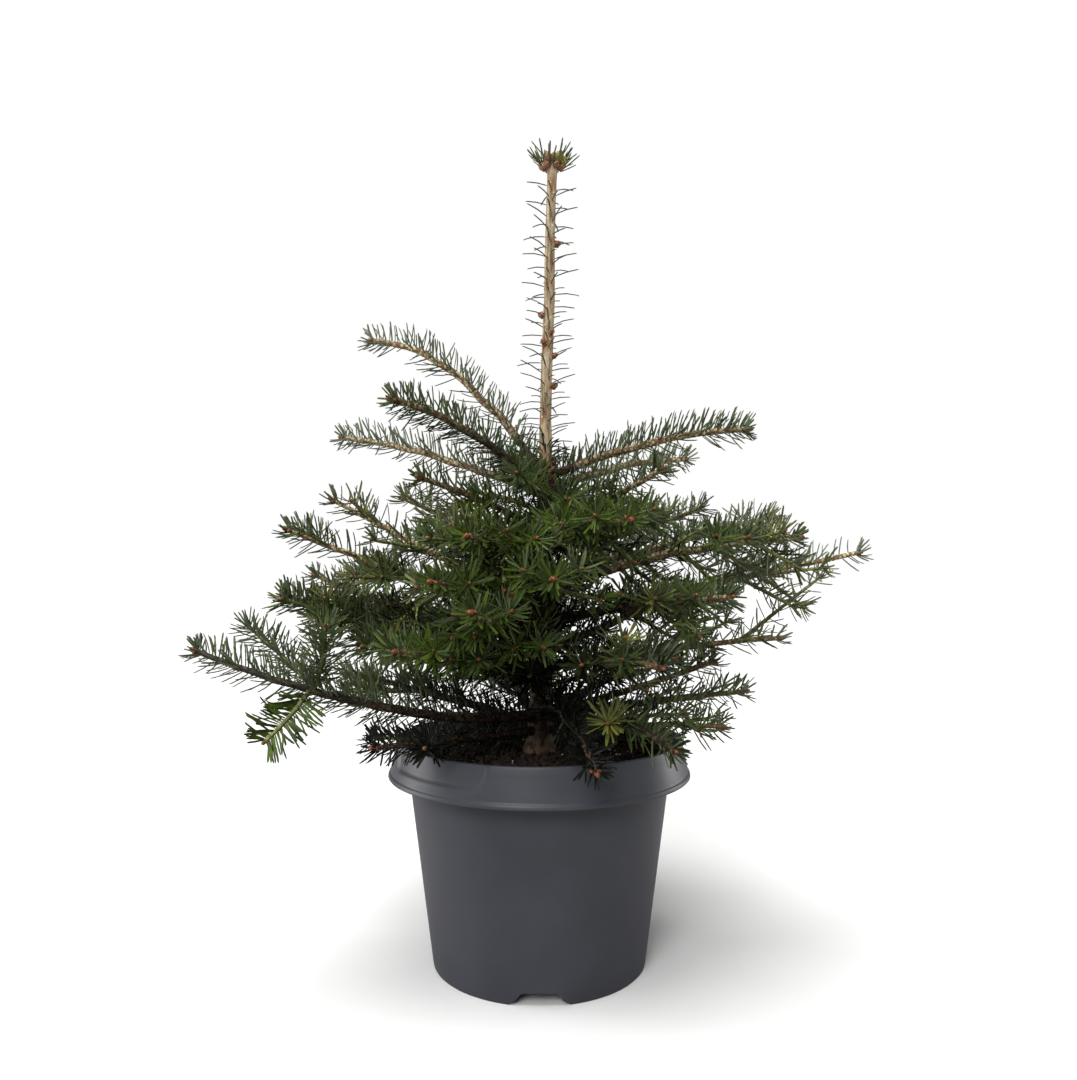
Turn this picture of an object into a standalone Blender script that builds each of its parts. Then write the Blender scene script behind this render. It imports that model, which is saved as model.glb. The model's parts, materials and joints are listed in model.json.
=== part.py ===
"""A young Korean fir in a grey nursery pot.

Metres, +Z up. The origin is the middle of the pot's underside, and -Y is the side that is seen from the front.
"""

import math
import random
from collections import namedtuple

import bmesh
import bpy
import numpy as np
from mathutils import Vector
from mathutils.bvhtree import BVHTree
from mathutils.kdtree import KDTree

CLEARANCE = 0.0003

# Pot
POT_HEIGHT = 0.1445
FOOT_RADIUS = 0.0688
NECK_RADIUS = 0.0843
LIP_HEIGHT = 0.1213
LIP_RADIUS = 0.0970
RIM_TOP_RADIUS = 0.0922
WALL = 0.0020
BASE_LIFT = 0.0080
HUB_RADIUS = 0.0300
SKIRT_WIDTH = 0.0026
POT_SEGMENTS = 36
NOTCH_COUNT = 4
NOTCH_HEIGHT = 0.0080
NOTCH_FOOT_WIDTH = 0.0370
NOTCH_TOP_WIDTH = 0.0215
DRAIN_HOLE_COUNT = 6
DRAIN_HOLE_RADIUS = 0.0050
DRAIN_RING_RADIUS = 0.0480
PANEL_AZIMUTHS = (229.0, 49.0)
PANEL_SPAN = 42.0
PANEL_DEPTH = 0.0012
PANEL_FOOT_HEIGHT = 0.1305

# Potting mix
SOIL_HEIGHT = 0.1345
SOIL_BUMP = 0.0016
SOIL_FLAT_RADIUS = 0.0170

# Trunk: height above the ground, radius, and how far the axis has moved towards +X there
TRUNK_FOOT_HEIGHT = SOIL_HEIGHT + CLEARANCE
TRUNK_STATIONS = (
    (TRUNK_FOOT_HEIGHT, 0.0118, 0.0000),
    (0.1400, 0.0092, 0.0002),
    (0.1500, 0.0078, 0.0005),
    (0.1900, 0.0072, 0.0016),
    (0.2400, 0.0064, 0.0028),
    (0.2900, 0.0057, 0.0038),
    (0.3080, 0.0060, 0.0040),
    (0.3200, 0.0044, 0.0042),
    (0.3500, 0.0041, 0.0040),
    (0.3900, 0.0040, 0.0050),
    (0.4300, 0.0039, 0.0066),
    (0.4700, 0.0037, 0.0070),
    (0.5150, 0.0035, 0.0084),
)
TRUNK_BARE_RADIUS = 0.0075
LEADER_FOOT_HEIGHT = 0.3200
LEADER_SIDES = 5
TUFT_HEIGHT = 0.5150
TUFT_LENGTH = 0.0110
TUFT_NEEDLE_LENGTH = 0.0110

# Needles and shoots
NEEDLE_LENGTH = 0.0152
NEEDLE_PITCH = 0.0094
LEADER_NEEDLE_LENGTH = 0.0165
LEADER_NEEDLE_PITCH = 0.0090
LEADER_NEEDLE_BAND = 0.0024
SHOOT_TIP_RADIUS = 0.0016
SIDE_SHOOT_RADIUS = 0.0019
BUD_LENGTH = 0.0040
BARE_FOOT = 0.0080
FORK_BARE = 0.0065
SPACE_MARGIN = 0.0016
SAMPLE_STEP = 0.0040

# One row for each branch that leaves the trunk. foot is the height where it leaves, tip the height of its end
# bud, azimuth is counted from +X, arch lifts the middle, sweep bends it to its own left, limb is the share of
# its length that is a bare bough, sides are its side shoots, and start is how far from the trunk's axis it begins.
Branch = namedtuple("Branch", "name foot azimuth reach tip arch sweep limb radius sides start", defaults=(0.0075,))
# A side shoot leaves at a share of the branch's length, turns to the left in plan, climbs, and is that long.
Side = namedtuple("Side", "at turn climb length")


def pair(at, length, turn=52.0, climb=6.0):
    """Two side shoots that face each other."""
    return (Side(at, turn, climb, length), Side(at, -turn, climb, length))


WHORL_RADIUS = 0.0026
BRANCHES = (
    Branch("crown_left_high", 0.319, 170, 0.120, 0.4075, 0.021, 0.000, 0.14, WHORL_RADIUS, ()),
    Branch("crown_left_front", 0.308, 214, 0.109, 0.354, 0.008, 0.000, 0.12, WHORL_RADIUS, ()),
    Branch("crown_left_back", 0.304, 161, 0.151, 0.346, 0.005, 0.000, 0.12, WHORL_RADIUS, ()),
    Branch("crown_right_front", 0.315, 347, 0.128, 0.341, 0.006, 0.000, 0.12, WHORL_RADIUS, ()),
    Branch("crown_right_back", 0.307, 37, 0.130, 0.334, 0.004, 0.000, 0.12, WHORL_RADIUS, ()),
    Branch("crown_back", 0.304, 105, 0.128, 0.336, 0.006, 0.000, 0.12, WHORL_RADIUS, ()),
    Branch("upper_right_near", 0.284, 314, 0.097, 0.312, -0.002, 0.000, 0.0, 0.0023, ()),
    Branch("upper_left_near", 0.280, 213, 0.090, 0.309, 0.002, 0.000, 0.0, 0.0023, ()),
    Branch("upper_front_right", 0.262, 292, 0.120, 0.281, 0.004, 0.000, 0.0, 0.0023, pair(0.55, 0.042)),
    Branch("upper_front_left", 0.252, 252, 0.130, 0.272, 0.004, 0.000, 0.0, 0.0023, pair(0.55, 0.042)),
    Branch("upper_right_far", 0.266, 29, 0.126, 0.295, -0.002, 0.000, 0.0, 0.0022, ()),
    Branch("upper_left_far", 0.262, 149, 0.117, 0.306, -0.004, 0.000, 0.0, 0.0022, ()),
    Branch("upper_back", 0.262, 78, 0.125, 0.300, 0.002, 0.000, 0.0, 0.0022, ()),
    Branch("middle_left_high", 0.230, 176, 0.140, 0.299, 0.000, 0.000, 0.0, 0.0026, pair(0.52, 0.040)),
    Branch("middle_left", 0.214, 191, 0.161, 0.278, 0.001, 0.000, 0.28, 0.0030, pair(0.50, 0.050)),
    Branch("middle_right_far", 0.247, 22, 0.180, 0.291, 0.002, 0.000, 0.25, 0.0030, pair(0.55, 0.055)),
    Branch("middle_right", 0.240, 346, 0.160, 0.273, 0.007, 0.000, 0.22, 0.0032, pair(0.62, 0.045)),
    Branch(
        "middle_right_long", 0.218, 8, 0.220, 0.2645, 0.001, 0.000, 0.28, 0.0030,
        (Side(0.50, -44.0, 26.0, 0.058), *pair(0.64, 0.052)),
    ),
    Branch("middle_front_left", 0.224, 246, 0.142, 0.248, 0.002, 0.000, 0.0, 0.0026, pair(0.55, 0.042)),
    Branch("middle_front_right", 0.222, 319, 0.138, 0.239, 0.000, 0.000, 0.0, 0.0026, pair(0.55, 0.040)),
    Branch("middle_front", 0.228, 272, 0.135, 0.250, 0.004, 0.000, 0.0, 0.0026, ()),
    Branch("middle_back_right", 0.232, 58, 0.172, 0.280, 0.003, 0.000, 0.25, 0.0030, pair(0.55, 0.055)),
    Branch("middle_back_left", 0.228, 124, 0.165, 0.282, 0.003, 0.000, 0.25, 0.0030, pair(0.55, 0.055)),
    Branch("low_left", 0.182, 200, 0.162, 0.2385, -0.003, 0.000, 0.0, 0.0032, (*pair(0.50, 0.050), *pair(0.74, 0.034))),
    Branch("low_left_far", 0.208, 170, 0.158, 0.249, -0.006, 0.000, 0.0, 0.0030, pair(0.50, 0.045)),
    Branch(
        "low_right", 0.190, 7, 0.162, 0.2065, 0.002, 0.000, 0.0, 0.0030,
        (Side(0.82, 12.0, 35.0, 0.076), *pair(0.45, 0.045)),
    ),
    Branch("low_front_left", 0.190, 237, 0.141, 0.211, 0.000, 0.000, 0.0, 0.0028, pair(0.55, 0.042)),
    Branch("low_front", 0.205, 256, 0.146, 0.233, 0.000, 0.000, 0.0, 0.0028, ()),
    Branch("low_front_right", 0.190, 297, 0.137, 0.203, 0.004, 0.000, 0.0, 0.0028, pair(0.55, 0.040)),
    Branch("low_right_far", 0.200, 40, 0.165, 0.238, 0.002, 0.000, 0.0, 0.0030, pair(0.55, 0.055)),
    Branch("low_back", 0.192, 92, 0.165, 0.232, 0.002, 0.000, 0.0, 0.0032, pair(0.55, 0.055)),
    Branch("low_back_left", 0.182, 144, 0.170, 0.226, 0.002, 0.000, 0.0, 0.0030, pair(0.55, 0.055)),
    Branch(
        "skirt_left", 0.158, 202, 0.212, 0.208, -0.010, 0.022, 0.30, 0.0040,
        (Side(0.70, 72.0, -29.0, 0.050), Side(0.69, 112.0, 50.0, 0.050), Side(0.68, -58.0, 27.0, 0.080)),
    ),
    Branch("skirt_front_left", 0.1485, 224, 0.129, 0.1545, 0.000, 0.000, 0.0, 0.0030, pair(0.66, 0.035)),
    Branch("skirt_right_high", 0.160, 349, 0.111, 0.195, -0.001, 0.000, 0.0, 0.0026, ()),
    Branch("skirt_right", 0.156, 6, 0.138, 0.171, 0.002, 0.000, 0.0, 0.0032, pair(0.50, 0.042)),
    Branch("skirt_right_low", 0.149, 334, 0.120, 0.160, 0.002, 0.000, 0.0, 0.0026, ()),
    Branch("skirt_front_right", 0.170, 305, 0.126, 0.156, 0.006, 0.000, 0.0, 0.0028, pair(0.60, 0.035)),
    Branch("skirt_front", 0.164, 285, 0.114, 0.146, 0.010, 0.000, 0.0, 0.0026, ()),
    Branch("skirt_back_right", 0.158, 52, 0.155, 0.186, 0.002, 0.000, 0.0, 0.0034, pair(0.55, 0.050)),
    Branch("skirt_back", 0.152, 103, 0.150, 0.176, 0.003, 0.000, 0.0, 0.0034, pair(0.55, 0.050)),
    Branch("skirt_back_left", 0.152, 152, 0.165, 0.176, 0.002, 0.000, 0.0, 0.0034, pair(0.55, 0.050)),
)

POT_GREY = (0.095, 0.095, 0.105)
SOIL_BROWN = (0.022, 0.014, 0.009)
BARK_TAN = (0.33, 0.22, 0.13)
BOUGH_BROWN = (0.14, 0.085, 0.050)
NEEDLE_GREEN = (0.035, 0.065, 0.030)


def clear_scene():
    for obj in list(bpy.data.objects):
        bpy.data.objects.remove(obj)


def material(name, colour, roughness):
    """A Principled BSDF of one colour."""
    made = bpy.data.materials.new(name)
    made.use_nodes = True
    shader = made.node_tree.nodes["Principled BSDF"]
    shader.inputs["Base Color"].default_value = (*colour, 1.0)
    shader.inputs["Roughness"].default_value = roughness
    shader.inputs["Metallic"].default_value = 0.0
    return made


def new_object(name, vertices, faces, finish):
    """A mesh object whose place is in its vertices."""
    mesh = bpy.data.meshes.new(name)
    mesh.from_pydata([tuple(v) for v in vertices], [], faces)
    mesh.materials.append(finish)
    mesh.update()
    obj = bpy.data.objects.new(name, mesh)
    bpy.context.scene.collection.objects.link(obj)
    return obj


def apply_modifiers(obj):
    """Replaces the object's mesh by the evaluated one."""
    graph = bpy.context.evaluated_depsgraph_get()
    mesh = bpy.data.meshes.new_from_object(obj.evaluated_get(graph))
    obj.modifiers.clear()
    obj.data = mesh


def heading(azimuth):
    """The level direction at this azimuth, in degrees."""
    angle = math.radians(azimuth)
    return Vector((math.cos(angle), math.sin(angle), 0.0))


# Pot and potting mix


def inner_wall_radius(height):
    """The pot's inner radius at a height between its floor and its rim."""
    share = (height - BASE_LIFT) / (LIP_HEIGHT - BASE_LIFT)
    floor = FOOT_RADIUS + (NECK_RADIUS - FOOT_RADIUS) * BASE_LIFT / LIP_HEIGHT - WALL
    return floor + (NECK_RADIUS - WALL - floor) * share


def pot_profile():
    """Radius and height round the pot's wall: under the base, up the outside, over the rim and down inside."""
    skirt = FOOT_RADIUS - SKIRT_WIDTH
    rim_slope = (LIP_RADIUS - RIM_TOP_RADIUS) / (POT_HEIGHT - LIP_HEIGHT)
    groove_top = POT_HEIGHT - 2.5 * WALL
    groove_radius = RIM_TOP_RADIUS + rim_slope * (POT_HEIGHT - groove_top) - WALL
    floor = BASE_LIFT + WALL
    return [
        (0.0, 0.0),
        (HUB_RADIUS, 0.0),
        (HUB_RADIUS + 0.003, BASE_LIFT),
        (skirt - 0.001, BASE_LIFT),
        (skirt, 0.0),
        (FOOT_RADIUS, 0.0),
        (NECK_RADIUS, LIP_HEIGHT),
        (groove_radius - 0.0020, groove_top),
        (groove_radius, groove_top),
        (LIP_RADIUS - WALL, LIP_HEIGHT),
        (LIP_RADIUS, LIP_HEIGHT),
        (RIM_TOP_RADIUS + 0.0013, POT_HEIGHT - 0.0050),
        (RIM_TOP_RADIUS, POT_HEIGHT),
        (RIM_TOP_RADIUS - 0.0022, POT_HEIGHT),
        (NECK_RADIUS - WALL, LIP_HEIGHT),
        (inner_wall_radius(floor), floor),
        (HUB_RADIUS, floor),
        (HUB_RADIUS - 0.003, WALL),
        (0.0, WALL),
    ]


def turned(name, profile, segments, finish):
    """A closed solid made by turning a profile, given from its lowest to its highest axis point, about Z."""
    mesh = bmesh.new()
    rings = []
    for radius, height in profile:
        if radius == 0.0:
            rings.append([mesh.verts.new((0.0, 0.0, height))])
            continue
        angles = [math.tau * i / segments for i in range(segments)]
        rings.append([mesh.verts.new((radius * math.cos(a), radius * math.sin(a), height)) for a in angles])
    for lower, upper in zip(rings, rings[1:]):
        for i in range(segments):
            j = (i + 1) % segments
            corners = [lower[i % len(lower)], lower[j % len(lower)], upper[j % len(upper)], upper[i % len(upper)]]
            mesh.faces.new(list(dict.fromkeys(corners)))
    bmesh.ops.recalc_face_normals(mesh, faces=mesh.faces)
    data = bpy.data.meshes.new(name)
    mesh.to_mesh(data)
    mesh.free()
    data.materials.append(finish)
    obj = bpy.data.objects.new(name, data)
    bpy.context.scene.collection.objects.link(obj)
    return obj


def prism(name, outline, start, end, finish):
    """A prism between two planes across X, from an outline of (y, z) points."""
    count = len(outline)
    vertices = [(x, y, z) for x in (start, end) for y, z in outline]
    sides = [(i, (i + 1) % count, count + (i + 1) % count, count + i) for i in range(count)]
    faces = [tuple(reversed(range(count))), tuple(range(count, 2 * count)), *sides]
    obj = new_object(name, vertices, faces, finish)
    outward(obj)
    return obj


def outward(obj):
    """Turns every face of a closed mesh outwards."""
    mesh = bmesh.new()
    mesh.from_mesh(obj.data)
    bmesh.ops.recalc_face_normals(mesh, faces=mesh.faces)
    mesh.to_mesh(obj.data)
    mesh.free()


def notch_cutters(finish):
    """Trapezoid cutters for the drain notches in the pot's foot ring."""
    foot, top = NOTCH_FOOT_WIDTH / 2, NOTCH_TOP_WIDTH / 2
    knee = NOTCH_HEIGHT * 0.35
    outline = [
        (-foot - 0.002, -0.002),
        (foot + 0.002, -0.002),
        (foot - 0.0045, knee),
        (top, NOTCH_HEIGHT),
        (-top, NOTCH_HEIGHT),
        (-foot + 0.0045, knee),
    ]
    cutters = []
    for i in range(NOTCH_COUNT):
        cutter = prism(f"notch_cutter_{i}", outline, FOOT_RADIUS - 0.010, FOOT_RADIUS + 0.006, finish)
        cutter.rotation_euler.z = math.radians(270.0 + 360.0 * i / NOTCH_COUNT)
        cutters.append(cutter)
    return cutters


def drain_cutters():
    """Round cutters for the drain holes in the raised part of the base."""
    cutters = []
    for i in range(DRAIN_HOLE_COUNT):
        centre = heading(360.0 * (i + 0.5) / DRAIN_HOLE_COUNT) * DRAIN_RING_RADIUS
        bpy.ops.mesh.primitive_cylinder_add(
            vertices=12, radius=DRAIN_HOLE_RADIUS, depth=0.012, location=(centre.x, centre.y, BASE_LIFT)
        )
        cutter = bpy.context.object
        cutter.name = f"drain_cutter_{i}"
        cutters.append(cutter)
    return cutters


def rim_face_radius(height):
    """The rim's outer radius at a height."""
    share = (height - LIP_HEIGHT) / (POT_HEIGHT - LIP_HEIGHT)
    return LIP_RADIUS + (RIM_TOP_RADIUS - LIP_RADIUS) * share


def panel_cutter(azimuth, finish):
    """A thin curved cutter that sinks a shallow panel with round lower corners into the rim."""
    columns, corner = 16, 0.18
    inner, outer = [], []
    for i in range(columns + 1):
        share = i / columns
        side = max(0.0, corner - min(share, 1.0 - share)) / corner
        lift = (POT_HEIGHT - PANEL_FOOT_HEIGHT) * (1.0 - math.sqrt(1.0 - side * side))
        foot = PANEL_FOOT_HEIGHT + min(lift, POT_HEIGHT - PANEL_FOOT_HEIGHT - 0.0004)
        ray = heading(azimuth + PANEL_SPAN * (share - 0.5))
        for height in (foot, POT_HEIGHT + 0.002):
            inner.append(ray * (rim_face_radius(height) - PANEL_DEPTH) + Vector((0.0, 0.0, height)))
            outer.append(ray * (LIP_RADIUS + 0.004) + Vector((0.0, 0.0, height)))
    count = len(inner)
    faces = []
    for i in range(columns):
        a = 2 * i
        faces.append((a, a + 2, a + 3, a + 1))
        faces.append((count + a, count + a + 1, count + a + 3, count + a + 2))
        faces.append((a, count + a, count + a + 2, a + 2))
        faces.append((a + 1, a + 3, count + a + 3, count + a + 1))
    faces.append((0, 1, count + 1, count))
    faces.append((count - 2, 2 * count - 2, 2 * count - 1, count - 1))
    cutter = new_object(f"panel_cutter_{azimuth:.0f}", inner + outer, faces, finish)
    outward(cutter)
    return cutter


def make_pot():
    """The pot: tapered wall, raised base with drain holes, notched foot ring, and a rim with a hollow skirt."""
    finish = material("moulded polypropylene", POT_GREY, 0.45)
    pot = turned("pot", pot_profile(), POT_SEGMENTS, finish)
    cutters = notch_cutters(finish) + drain_cutters() + [panel_cutter(a, finish) for a in PANEL_AZIMUTHS]
    group = bpy.data.collections.new("pot cutters")
    for cutter in cutters:
        for used in list(cutter.users_collection):
            used.objects.unlink(cutter)
        group.objects.link(cutter)
    bpy.context.scene.collection.children.link(group)
    bpy.context.view_layer.update()
    cut = pot.modifiers.new("cut", "BOOLEAN")
    cut.operation = "DIFFERENCE"
    cut.solver = "EXACT"
    cut.operand_type = "COLLECTION"
    cut.collection = group
    apply_modifiers(pot)
    for cutter in cutters:
        bpy.data.objects.remove(cutter)
    bpy.data.collections.remove(group)
    return pot


def make_soil():
    """The potting mix: it fills the pot to just under the rim, with a lumpy top that is flat round the trunk."""
    finish = material("potting mix", SOIL_BROWN, 0.95)
    gap = CLEARANCE * 1.5
    floor = BASE_LIFT + WALL + gap
    rings = (0.074, 0.056, 0.036, SOIL_FLAT_RADIUS)
    profile = [
        (0.0, WALL + gap),
        (HUB_RADIUS - 0.004, WALL + gap),
        (HUB_RADIUS - 0.001, floor),
        (inner_wall_radius(floor) - gap, floor),
        (NECK_RADIUS - WALL - gap, LIP_HEIGHT),
        (inner_wall_radius(SOIL_HEIGHT - 0.003) - gap, SOIL_HEIGHT - 0.003),
        *[(radius, SOIL_HEIGHT) for radius in rings],
        (0.0, SOIL_HEIGHT),
    ]
    soil = turned("potting_mix", profile, 24, finish)
    rng = random.Random(11)
    for vertex in soil.data.vertices:
        spread = math.hypot(vertex.co.x, vertex.co.y)
        if vertex.co.z > SOIL_HEIGHT - 0.0001 and spread > SOIL_FLAT_RADIUS + 0.001:
            vertex.co.z += rng.uniform(-SOIL_BUMP, SOIL_BUMP)
    return soil


# Paths and tubes


def trunk_at(height):
    """(axis point, radius) of the trunk at a height."""
    heights = [s[0] for s in TRUNK_STATIONS]
    radius = float(np.interp(height, heights, [s[1] for s in TRUNK_STATIONS]))
    lean = float(np.interp(height, heights, [s[2] for s in TRUNK_STATIONS]))
    return Vector((lean, 0.0, height)), radius


def branch_point(branch, share):
    """A point of a branch's axis, from the trunk's surface at share 0 to its end bud at share 1."""
    axis, _ = trunk_at(branch.foot)
    ray = heading(branch.azimuth)
    left = Vector((-ray.y, ray.x, 0.0))
    out = branch.start + (branch.reach - branch.start) * share
    bow = 4.0 * share * (1.0 - share)
    point = axis + ray * out + left * (branch.sweep * bow)
    point.z = branch.foot + (branch.tip - branch.foot) * share + branch.arch * bow
    return point


def seated(branch, trunk_faces):
    """The branch with its start moved to just clear of the trunk's faces."""
    axis, _ = trunk_at(branch.foot)
    ray = heading(branch.azimuth)
    left = Vector((-ray.y, ray.x, 0.0))
    out = []
    for i, angle in enumerate(np.linspace(0.0, 3.0 * math.tau, 37)):
        spread = branch.radius * i / 36
        rim = axis + (left * math.cos(angle) + Vector((0.0, 0.0, math.sin(angle)))) * spread
        hit = trunk_faces.ray_cast(rim + ray * 0.015, -ray)[0]
        if hit is not None:
            out.append((hit - axis).dot(ray))
    return branch._replace(start=max(out) + CLEARANCE)


def side_path(branch, side, rng):
    """The axis of a side shoot, from inside its branch to its end bud, bending slightly back to the branch's way."""
    foot = branch_point(branch, side.at)
    ahead = branch_point(branch, min(1.0, side.at + 0.05)) - foot
    course = math.degrees(math.atan2(ahead.y, ahead.x)) + side.turn + rng.uniform(-5.0, 5.0)
    climb = math.radians(side.climb + rng.uniform(-4.0, 4.0))
    length = side.length * rng.uniform(0.9, 1.08)
    points = [foot]
    steps = max(3, round(length / SAMPLE_STEP))
    for i in range(steps):
        bend = -0.25 * side.turn * i / steps
        way = heading(course + bend) * math.cos(climb) + Vector((0.0, 0.0, math.sin(climb)))
        points.append(points[-1] + way * (length / steps))
    return points


def resampled(points, pitch):
    """Evenly spaced points along a polyline, its ends kept."""
    steps = [(b - a).length for a, b in zip(points, points[1:])]
    run = np.concatenate([[0.0], np.cumsum(steps)])
    count = max(2, round(run[-1] / pitch))
    wanted = np.linspace(0.0, run[-1], count + 1)
    table = np.array([tuple(p) for p in points])
    return [Vector([float(np.interp(w, run, table[:, k])) for k in range(3)]) for w in wanted]


def frames(points, first_normal=None):
    """(tangent, side, up) at each point. Up leans to the sky, and the first tangent may be given."""
    found = []
    for i in range(len(points)):
        tangent = (points[min(i + 1, len(points) - 1)] - points[max(i - 1, 0)]).normalized()
        if i == 0 and first_normal is not None:
            tangent = first_normal
        side = tangent.cross(Vector((0.0, 0.0, 1.0)))
        if side.length < 0.2:
            side = Vector((1.0, 0.0, 0.0)) - tangent * tangent.x
        side.normalize()
        found.append((tangent, side, side.cross(tangent).normalized()))
    return found


def tube_rings(points, radii, sides, twist, first_normal=None):
    """Rings of corners round a path. Each ring is turned by twist against the last."""
    rings = []
    for i, (point, (_, side, up)) in enumerate(zip(points, frames(points, first_normal))):
        angles = [math.tau * k / sides + twist * i for k in range(sides)]
        rings.append([point + (side * math.cos(a) + up * math.sin(a)) * radii[i] for a in angles])
    return rings


def make_limb(name, points, radii, sides, finish, first_normal=None):
    """A bare tapering limb with flat ends."""
    rings = tube_rings(points, radii, sides, 0.0, first_normal)
    faces = []
    for i in range(len(rings) - 1):
        for k in range(sides):
            a, b = i * sides + k, i * sides + (k + 1) % sides
            faces.append((a, b, b + sides, a + sides))
    faces.append(tuple(reversed(range(sides))))
    faces.append(tuple(range((len(rings) - 1) * sides, len(rings) * sides)))
    obj = new_object(name, [v for ring in rings for v in ring], faces, finish)
    outward(obj)
    return obj


# Needle-bearing shoots


class Space:
    """What the shoots must keep clear of: each other's axes, the bare limbs, the pot and the potting mix."""

    def __init__(self):
        self.samples = []

    def add(self, owner, points, radius, needled=True):
        """Enters an axis under its owner's name."""
        for point in resampled(points, SAMPLE_STEP):
            self.samples.append((owner, point, radius, needled))

    def settle(self, owner):
        """Builds the search trees for one owner: its own axes, everyone else's needled ones, and bare limbs."""
        self.own = self.tree([s for s in self.samples if s[0] == owner])
        self.others = self.tree([s for s in self.samples if s[0] != owner and s[3]])
        self.bare = self.tree([s for s in self.samples if s[0] != owner and not s[3]])

    @staticmethod
    def tree(samples):
        made = KDTree(len(samples))
        for i, sample in enumerate(samples):
            made.insert(sample[1], i)
        made.balance()
        return made, [s[2] for s in samples]

    @staticmethod
    def gap(tree, point):
        """The distance from a point to the nearest bark of a tree's axes."""
        _, index, distance = tree[0].find(point)
        return 1.0 if index is None else distance - tree[1][index]

    @staticmethod
    def in_pot(point, margin):
        return point.z < POT_HEIGHT + margin and math.hypot(point.x, point.y) < LIP_RADIUS + margin

    def free(self, point):
        """True if the point is nearer to the owner's axes than to others', off the limbs and outside the pot."""
        if self.in_pot(point, SPACE_MARGIN) or self.gap(self.bare, point) < SPACE_MARGIN:
            return False
        return self.own[0].find(point)[2] + SPACE_MARGIN < self.gap(self.others, point)

    def clear(self, points, gap):
        """True if no point of a path comes within a gap of anyone else's bark or of the rim."""
        return not any(
            self.in_pot(p, gap) or self.gap(self.others, p) < gap or self.gap(self.bare, p) < gap for p in points
        )


def needle_length(share, span):
    """A needle's length by its place on a shoot: shorter at both ends."""
    rise = min(1.0, 0.70 + 2.0 * share)
    fall = min(1.0, 0.66 + 2.2 * (1.0 - share))
    return span * rise * fall


def needle_way(normal, tangent, up, rng):
    """The way a needle points: out, forward and up, or None where a shoot is parted underneath."""
    lift = normal.dot(up)
    if lift < -0.35 and rng.random() < 0.62:
        return None
    way = normal + tangent * rng.uniform(0.35, 0.75) + up * 0.28
    return way.normalized()


def needled_tube(name, points, radii, sides, needles, free, finish, first_normal=None, bud=BUD_LENGTH):
    """A tube of triangles, some of them drawn out to a point as a needle.

    needles(centre, normal, tangent, up, share) gives a needle's tip, or None for a plain face, and
    free(point) says whether a needle may pass there."""
    rings = tube_rings(points, radii, sides, math.pi / sides, first_normal)
    axes = frames(points, first_normal)
    vertices = [v for ring in rings for v in ring]
    faces = [tuple(reversed(range(sides)))]
    for i in range(len(rings) - 1):
        middle = (points[i] + points[i + 1]) / 2
        tangent, _, up = axes[i]
        for k in range(sides):
            a, b = i * sides + k, i * sides + (k + 1) % sides
            for corners in ((a, b, a + sides), (b, b + sides, a + sides)):
                p, q, r = (vertices[c] for c in corners)
                centre = (p + q + r) / 3
                normal = centre - middle
                normal = (normal - tangent * normal.dot(tangent)).normalized()
                if (q - p).cross(r - p).dot(normal) < 0.0:
                    corners = (corners[0], corners[2], corners[1])
                tip = needles(centre, normal, tangent, up, (i + 0.5) / (len(rings) - 1))
                if tip is not None:
                    probes = [vertices[c].lerp(tip, part) for c in corners for part in (0.35, 0.7)]
                if tip is None or not all(free(p) for p in (tip, *probes)):
                    faces.append(corners)
                    continue
                vertices.append(tip)
                top = len(vertices) - 1
                faces += [(corners[j], corners[(j + 1) % 3], top) for j in range(3)]
    last = (len(rings) - 1) * sides
    vertices.append(points[-1] + axes[-1][0] * bud)
    faces += [(last + k, last + (k + 1) % sides, len(vertices) - 1) for k in range(sides)]
    obj = new_object(name, vertices, faces, finish)
    outward(obj)
    return obj


def make_shoot(name, points, radii, bare, space, rng, finish, first_normal=None, forks=()):
    """One shoot with its needles, on a three-sided stem that is bare at its foot and round its forks."""
    total = sum((b - a).length for a, b in zip(points, points[1:]))

    def needle(centre, normal, tangent, up, share):
        if share * total < bare or any((centre - fork).length < FORK_BARE for fork in forks):
            return None
        way = needle_way(normal, tangent, up, rng)
        if way is None:
            return None
        grown = (share * total - bare) / max(total - bare, 1e-6)
        return centre + way * needle_length(grown, NEEDLE_LENGTH) * rng.uniform(0.92, 1.06)

    return needled_tube(name, points, radii, 3, needle, space.free, finish, first_normal)


def fuse(base, parts):
    """Joins meshes to the base with one Boolean union on a collection."""
    if not parts:
        return base
    group = bpy.data.collections.new(base.name + " parts")
    for part in parts:
        bpy.context.scene.collection.objects.unlink(part)
        group.objects.link(part)
    bpy.context.scene.collection.children.link(group)
    bpy.context.view_layer.update()
    union = base.modifiers.new("union", "BOOLEAN")
    union.operation = "UNION"
    union.solver = "EXACT"
    union.operand_type = "COLLECTION"
    union.collection = group
    apply_modifiers(base)
    for part in parts:
        bpy.data.objects.remove(part)
    bpy.data.collections.remove(group)
    return base


def branch_axis(branch, start, end):
    """Points of a branch's axis between two shares of its length."""
    count = max(3, round(branch.reach * (end - start) / SAMPLE_STEP))
    return [branch_point(branch, start + (end - start) * i / count) for i in range(count + 1)]


def branch_radius(branch, share):
    return branch.radius + (SHOOT_TIP_RADIUS - branch.radius) * share


def plan_branches(branches, space):
    """The axes of every branch: {name: (limb points or None, main points, list of side paths)}."""
    plans = {}
    for number, branch in enumerate(branches):
        rng = random.Random(100 + number)
        gap = CLEARANCE / branch.reach if branch.limb else 0.0
        limb = branch_axis(branch, 0.0, branch.limb) if branch.limb else None
        main = branch_axis(branch, branch.limb + gap, 1.0)
        sides = [side_path(branch, side, rng) for side in branch.sides]
        if limb:
            space.add(branch.name + "_bough", limb, branch.radius, needled=False)
        space.add(branch.name, main, branch.radius)
        plans[branch.name] = (limb, main, sides)
    return plans


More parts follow.
